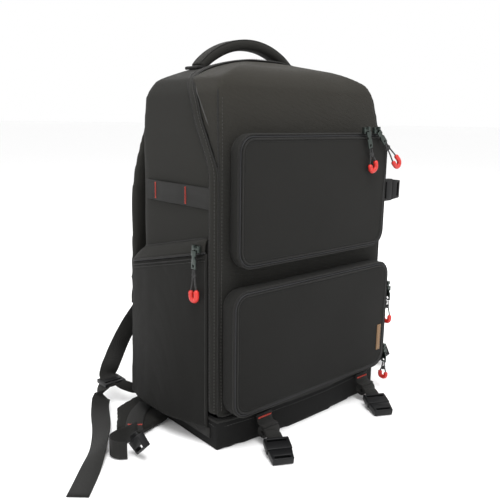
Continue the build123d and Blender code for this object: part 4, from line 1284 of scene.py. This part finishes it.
def block_mesh(centre, size, bevel):
    """A moulded block with rounded edges and a finger recess in its back."""
    bm = bmesh.new()
    bmesh.ops.create_cube(bm, size=1.0, matrix=Matrix.Translation(centre) @ Matrix.Diagonal((*size, 1)))
    back = max(bm.faces, key=lambda face: face.calc_center_median().y)
    bmesh.ops.inset_individual(bm, faces=[back], thickness=min(size) * 0.3, depth=-bevel * 0.4)
    sharp = [e for e in bm.edges if e.calc_face_angle(0) > radians(60)]
    round_edges(bm, sharp, bevel * 0.5)
    return to_mesh(bm)


# ---------------------------------------------------------------- hip belt and inside

HIP_WEB = [(-209, 2), (-222, -2.2), (-238, -2), (-251, -7), (-256, -18), (-252, -29), (-244, -35)]
HIP_LOOP = [(-160, 60), (-184, 42), (-205, 16), (-214, -1)]


def make_belt():
    """Both hip wings, their webbing and red tacks."""
    def at_root(point):
        return abs(point.x) < 158 * MM

    def low_down(point):
        return point.z < 15 * MM

    for word, side in (("left", -1), ("right", 1)):
        node, body = "hip_wing_" + word, "hip_" + word

        pad = pad_from(island_copy(node, low_down), node, node + "_foam", body, "shell_fabric", 1.5 * MM,
                       at_root)
        for vertex in pad.data.vertices:
            vertex.co.z = max(vertex.co.z, 0.3 * MM)
        web = [((side * -x * MM, y * MM, 12.6 * MM), (0, 0, 1)) for x, y in HIP_WEB]
        belt = [((side * -x * MM, y * MM, 11.4 * MM), (side * -0.75, -0.62, 0)) for x, y in HIP_LOOP]
        webs = joined([strap_mesh(web, 23 * MM, 1.7 * MM), strap_mesh(belt, 22 * MM, 1.6 * MM)])
        add_piece("hip_webbing_" + word, webs, body)
        tack = bar_tack(Vector((side * 205 * MM, 14 * MM, 12.6 * MM)),
                        Vector((side * -0.75, -0.62, 0)).normalized(),
                        Vector((side * 0.62, -0.75, 0)).normalized(), 18 * MM, 2.4 * MM)
        add_piece("hip_tack_" + word, tack, body, "red_thread")


INSIDE = {"frame_sheet": "stiffener", "laptop_divider": "lining", "padded_dividers": "lining"}


def make_inside():
    """The frame sheet, the laptop divider and the padded dividers."""
    for node, finish in INSIDE.items():
        piece = add_piece(node + "_inside", crisp_copy(node, 0.9 * MM, 3), "case", finish, stands_for=[node])


# ---------------------------------------------------------------- operators and panel

class CASE_OT_stage(bpy.types.Operator):
    """Sets the camera, the soft lights, the floor and the finishes"""

    bl_idname = "case.stage"
    bl_label = "Stage"

    def execute(self, context):
        make_materials()
        place_camera()
        place_lights()
        place_floor()
        return {"FINISHED"}


class CASE_OT_pulls(bpy.types.Operator):
    """Builds the six zip pulls and their cords"""

    bl_idname = "case.pulls"
    bl_label = "Zip pulls"

    def execute(self, context):
        for name in PULLS:
            make_pull(name)
        return {"FINISHED"}


class CASE_OT_shell(bpy.types.Operator):
    """Builds the cloth shell, its seams and side pockets"""

    bl_idname = "case.shell"
    bl_label = "Shell"

    def execute(self, context):
        shell = make_shell()
        make_seams(shell)
        make_side_pocket(-1, "left", shell[0])
        make_side_pocket(1, "right", shell[0])
        return {"FINISHED"}


class CASE_OT_zip(bpy.types.Operator):
    """Builds the covered zip round the opening"""

    bl_idname = "case.zip"
    bl_label = "Main zip"

    def execute(self, context):
        make_main_zip()
        return {"FINISHED"}


class CASE_OT_pockets(bpy.types.Operator):
    """Builds both padded front pockets and the leather tab"""

    bl_idname = "case.pockets"
    bl_label = "Front pockets"

    def execute(self, context):
        make_pocket("upper", "upper_pocket_lid", "upper_lid")
        make_pocket("lower", "lower_pocket_lid", "lower_lid")
        make_tab()
        return {"FINISHED"}


class CASE_OT_handle(bpy.types.Operator):
    """Builds the grab handle"""

    bl_idname = "case.handle"
    bl_label = "Handle"

    def execute(self, context):
        make_handle()
        return {"FINISHED"}


class CASE_OT_bands(bpy.types.Operator):
    """Builds the side bands and lash straps"""

    bl_idname = "case.bands"
    bl_label = "Bands"

    def execute(self, context):
        make_bands()
        make_lash()
        return {"FINISHED"}


class CASE_OT_buckles(bpy.types.Operator):
    """Builds every buckle"""

    bl_idname = "case.buckles"
    bl_label = "Buckles"

    def execute(self, context):
        make_buckles()
        return {"FINISHED"}


class CASE_OT_straps(bpy.types.Operator):
    """Builds the webbing, the shoulder straps and the back"""

    bl_idname = "case.straps"
    bl_label = "Straps"

    def execute(self, context):
        make_webbing()
        make_back()
        return {"FINISHED"}


class CASE_OT_belt(bpy.types.Operator):
    """Builds the hip belt"""

    bl_idname = "case.belt"
    bl_label = "Hip belt"

    def execute(self, context):
        make_belt()
        return {"FINISHED"}


class CASE_OT_inside(bpy.types.Operator):
    """Builds the dividers and sheets inside"""

    bl_idname = "case.inside"
    bl_label = "Inside"

    def execute(self, context):
        make_inside()
        return {"FINISHED"}


OPERATORS = (
    CASE_OT_stage, CASE_OT_pulls, CASE_OT_shell, CASE_OT_zip, CASE_OT_pockets, CASE_OT_handle, CASE_OT_bands,
    CASE_OT_buckles, CASE_OT_straps, CASE_OT_belt, CASE_OT_inside,
)


class CASE_PT_panel(bpy.types.Panel):
    """The case's sizes, colours and steps"""

    bl_label = "Drone backpack case"
    bl_space_type = "VIEW_3D"
    bl_region_type = "UI"
    bl_category = "Case"

    def draw(self, context):
        for name in CaseSettings.__annotations__:
            self.layout.prop(context.scene.drone_case, name)
        for operator in OPERATORS:
            self.layout.operator(operator.bl_idname)


def register():
    """Adds the settings, the operators and the panel."""
    for kind in (CaseSettings, *OPERATORS, CASE_PT_panel):
        bpy.utils.register_class(kind)
    bpy.types.Scene.drone_case = PointerProperty(type=CaseSettings)


def unregister():
    """Takes the settings, the operators and the panel away."""
    del bpy.types.Scene.drone_case
    for kind in reversed((CaseSettings, *OPERATORS, CASE_PT_panel)):
        bpy.utils.unregister_class(kind)


def main():
    """Builds the whole case."""
    register()
    for operator in OPERATORS:
        group, name = operator.bl_idname.split(".")
        getattr(getattr(bpy.ops, group), name)()


if __name__ == "__main__":
    main()
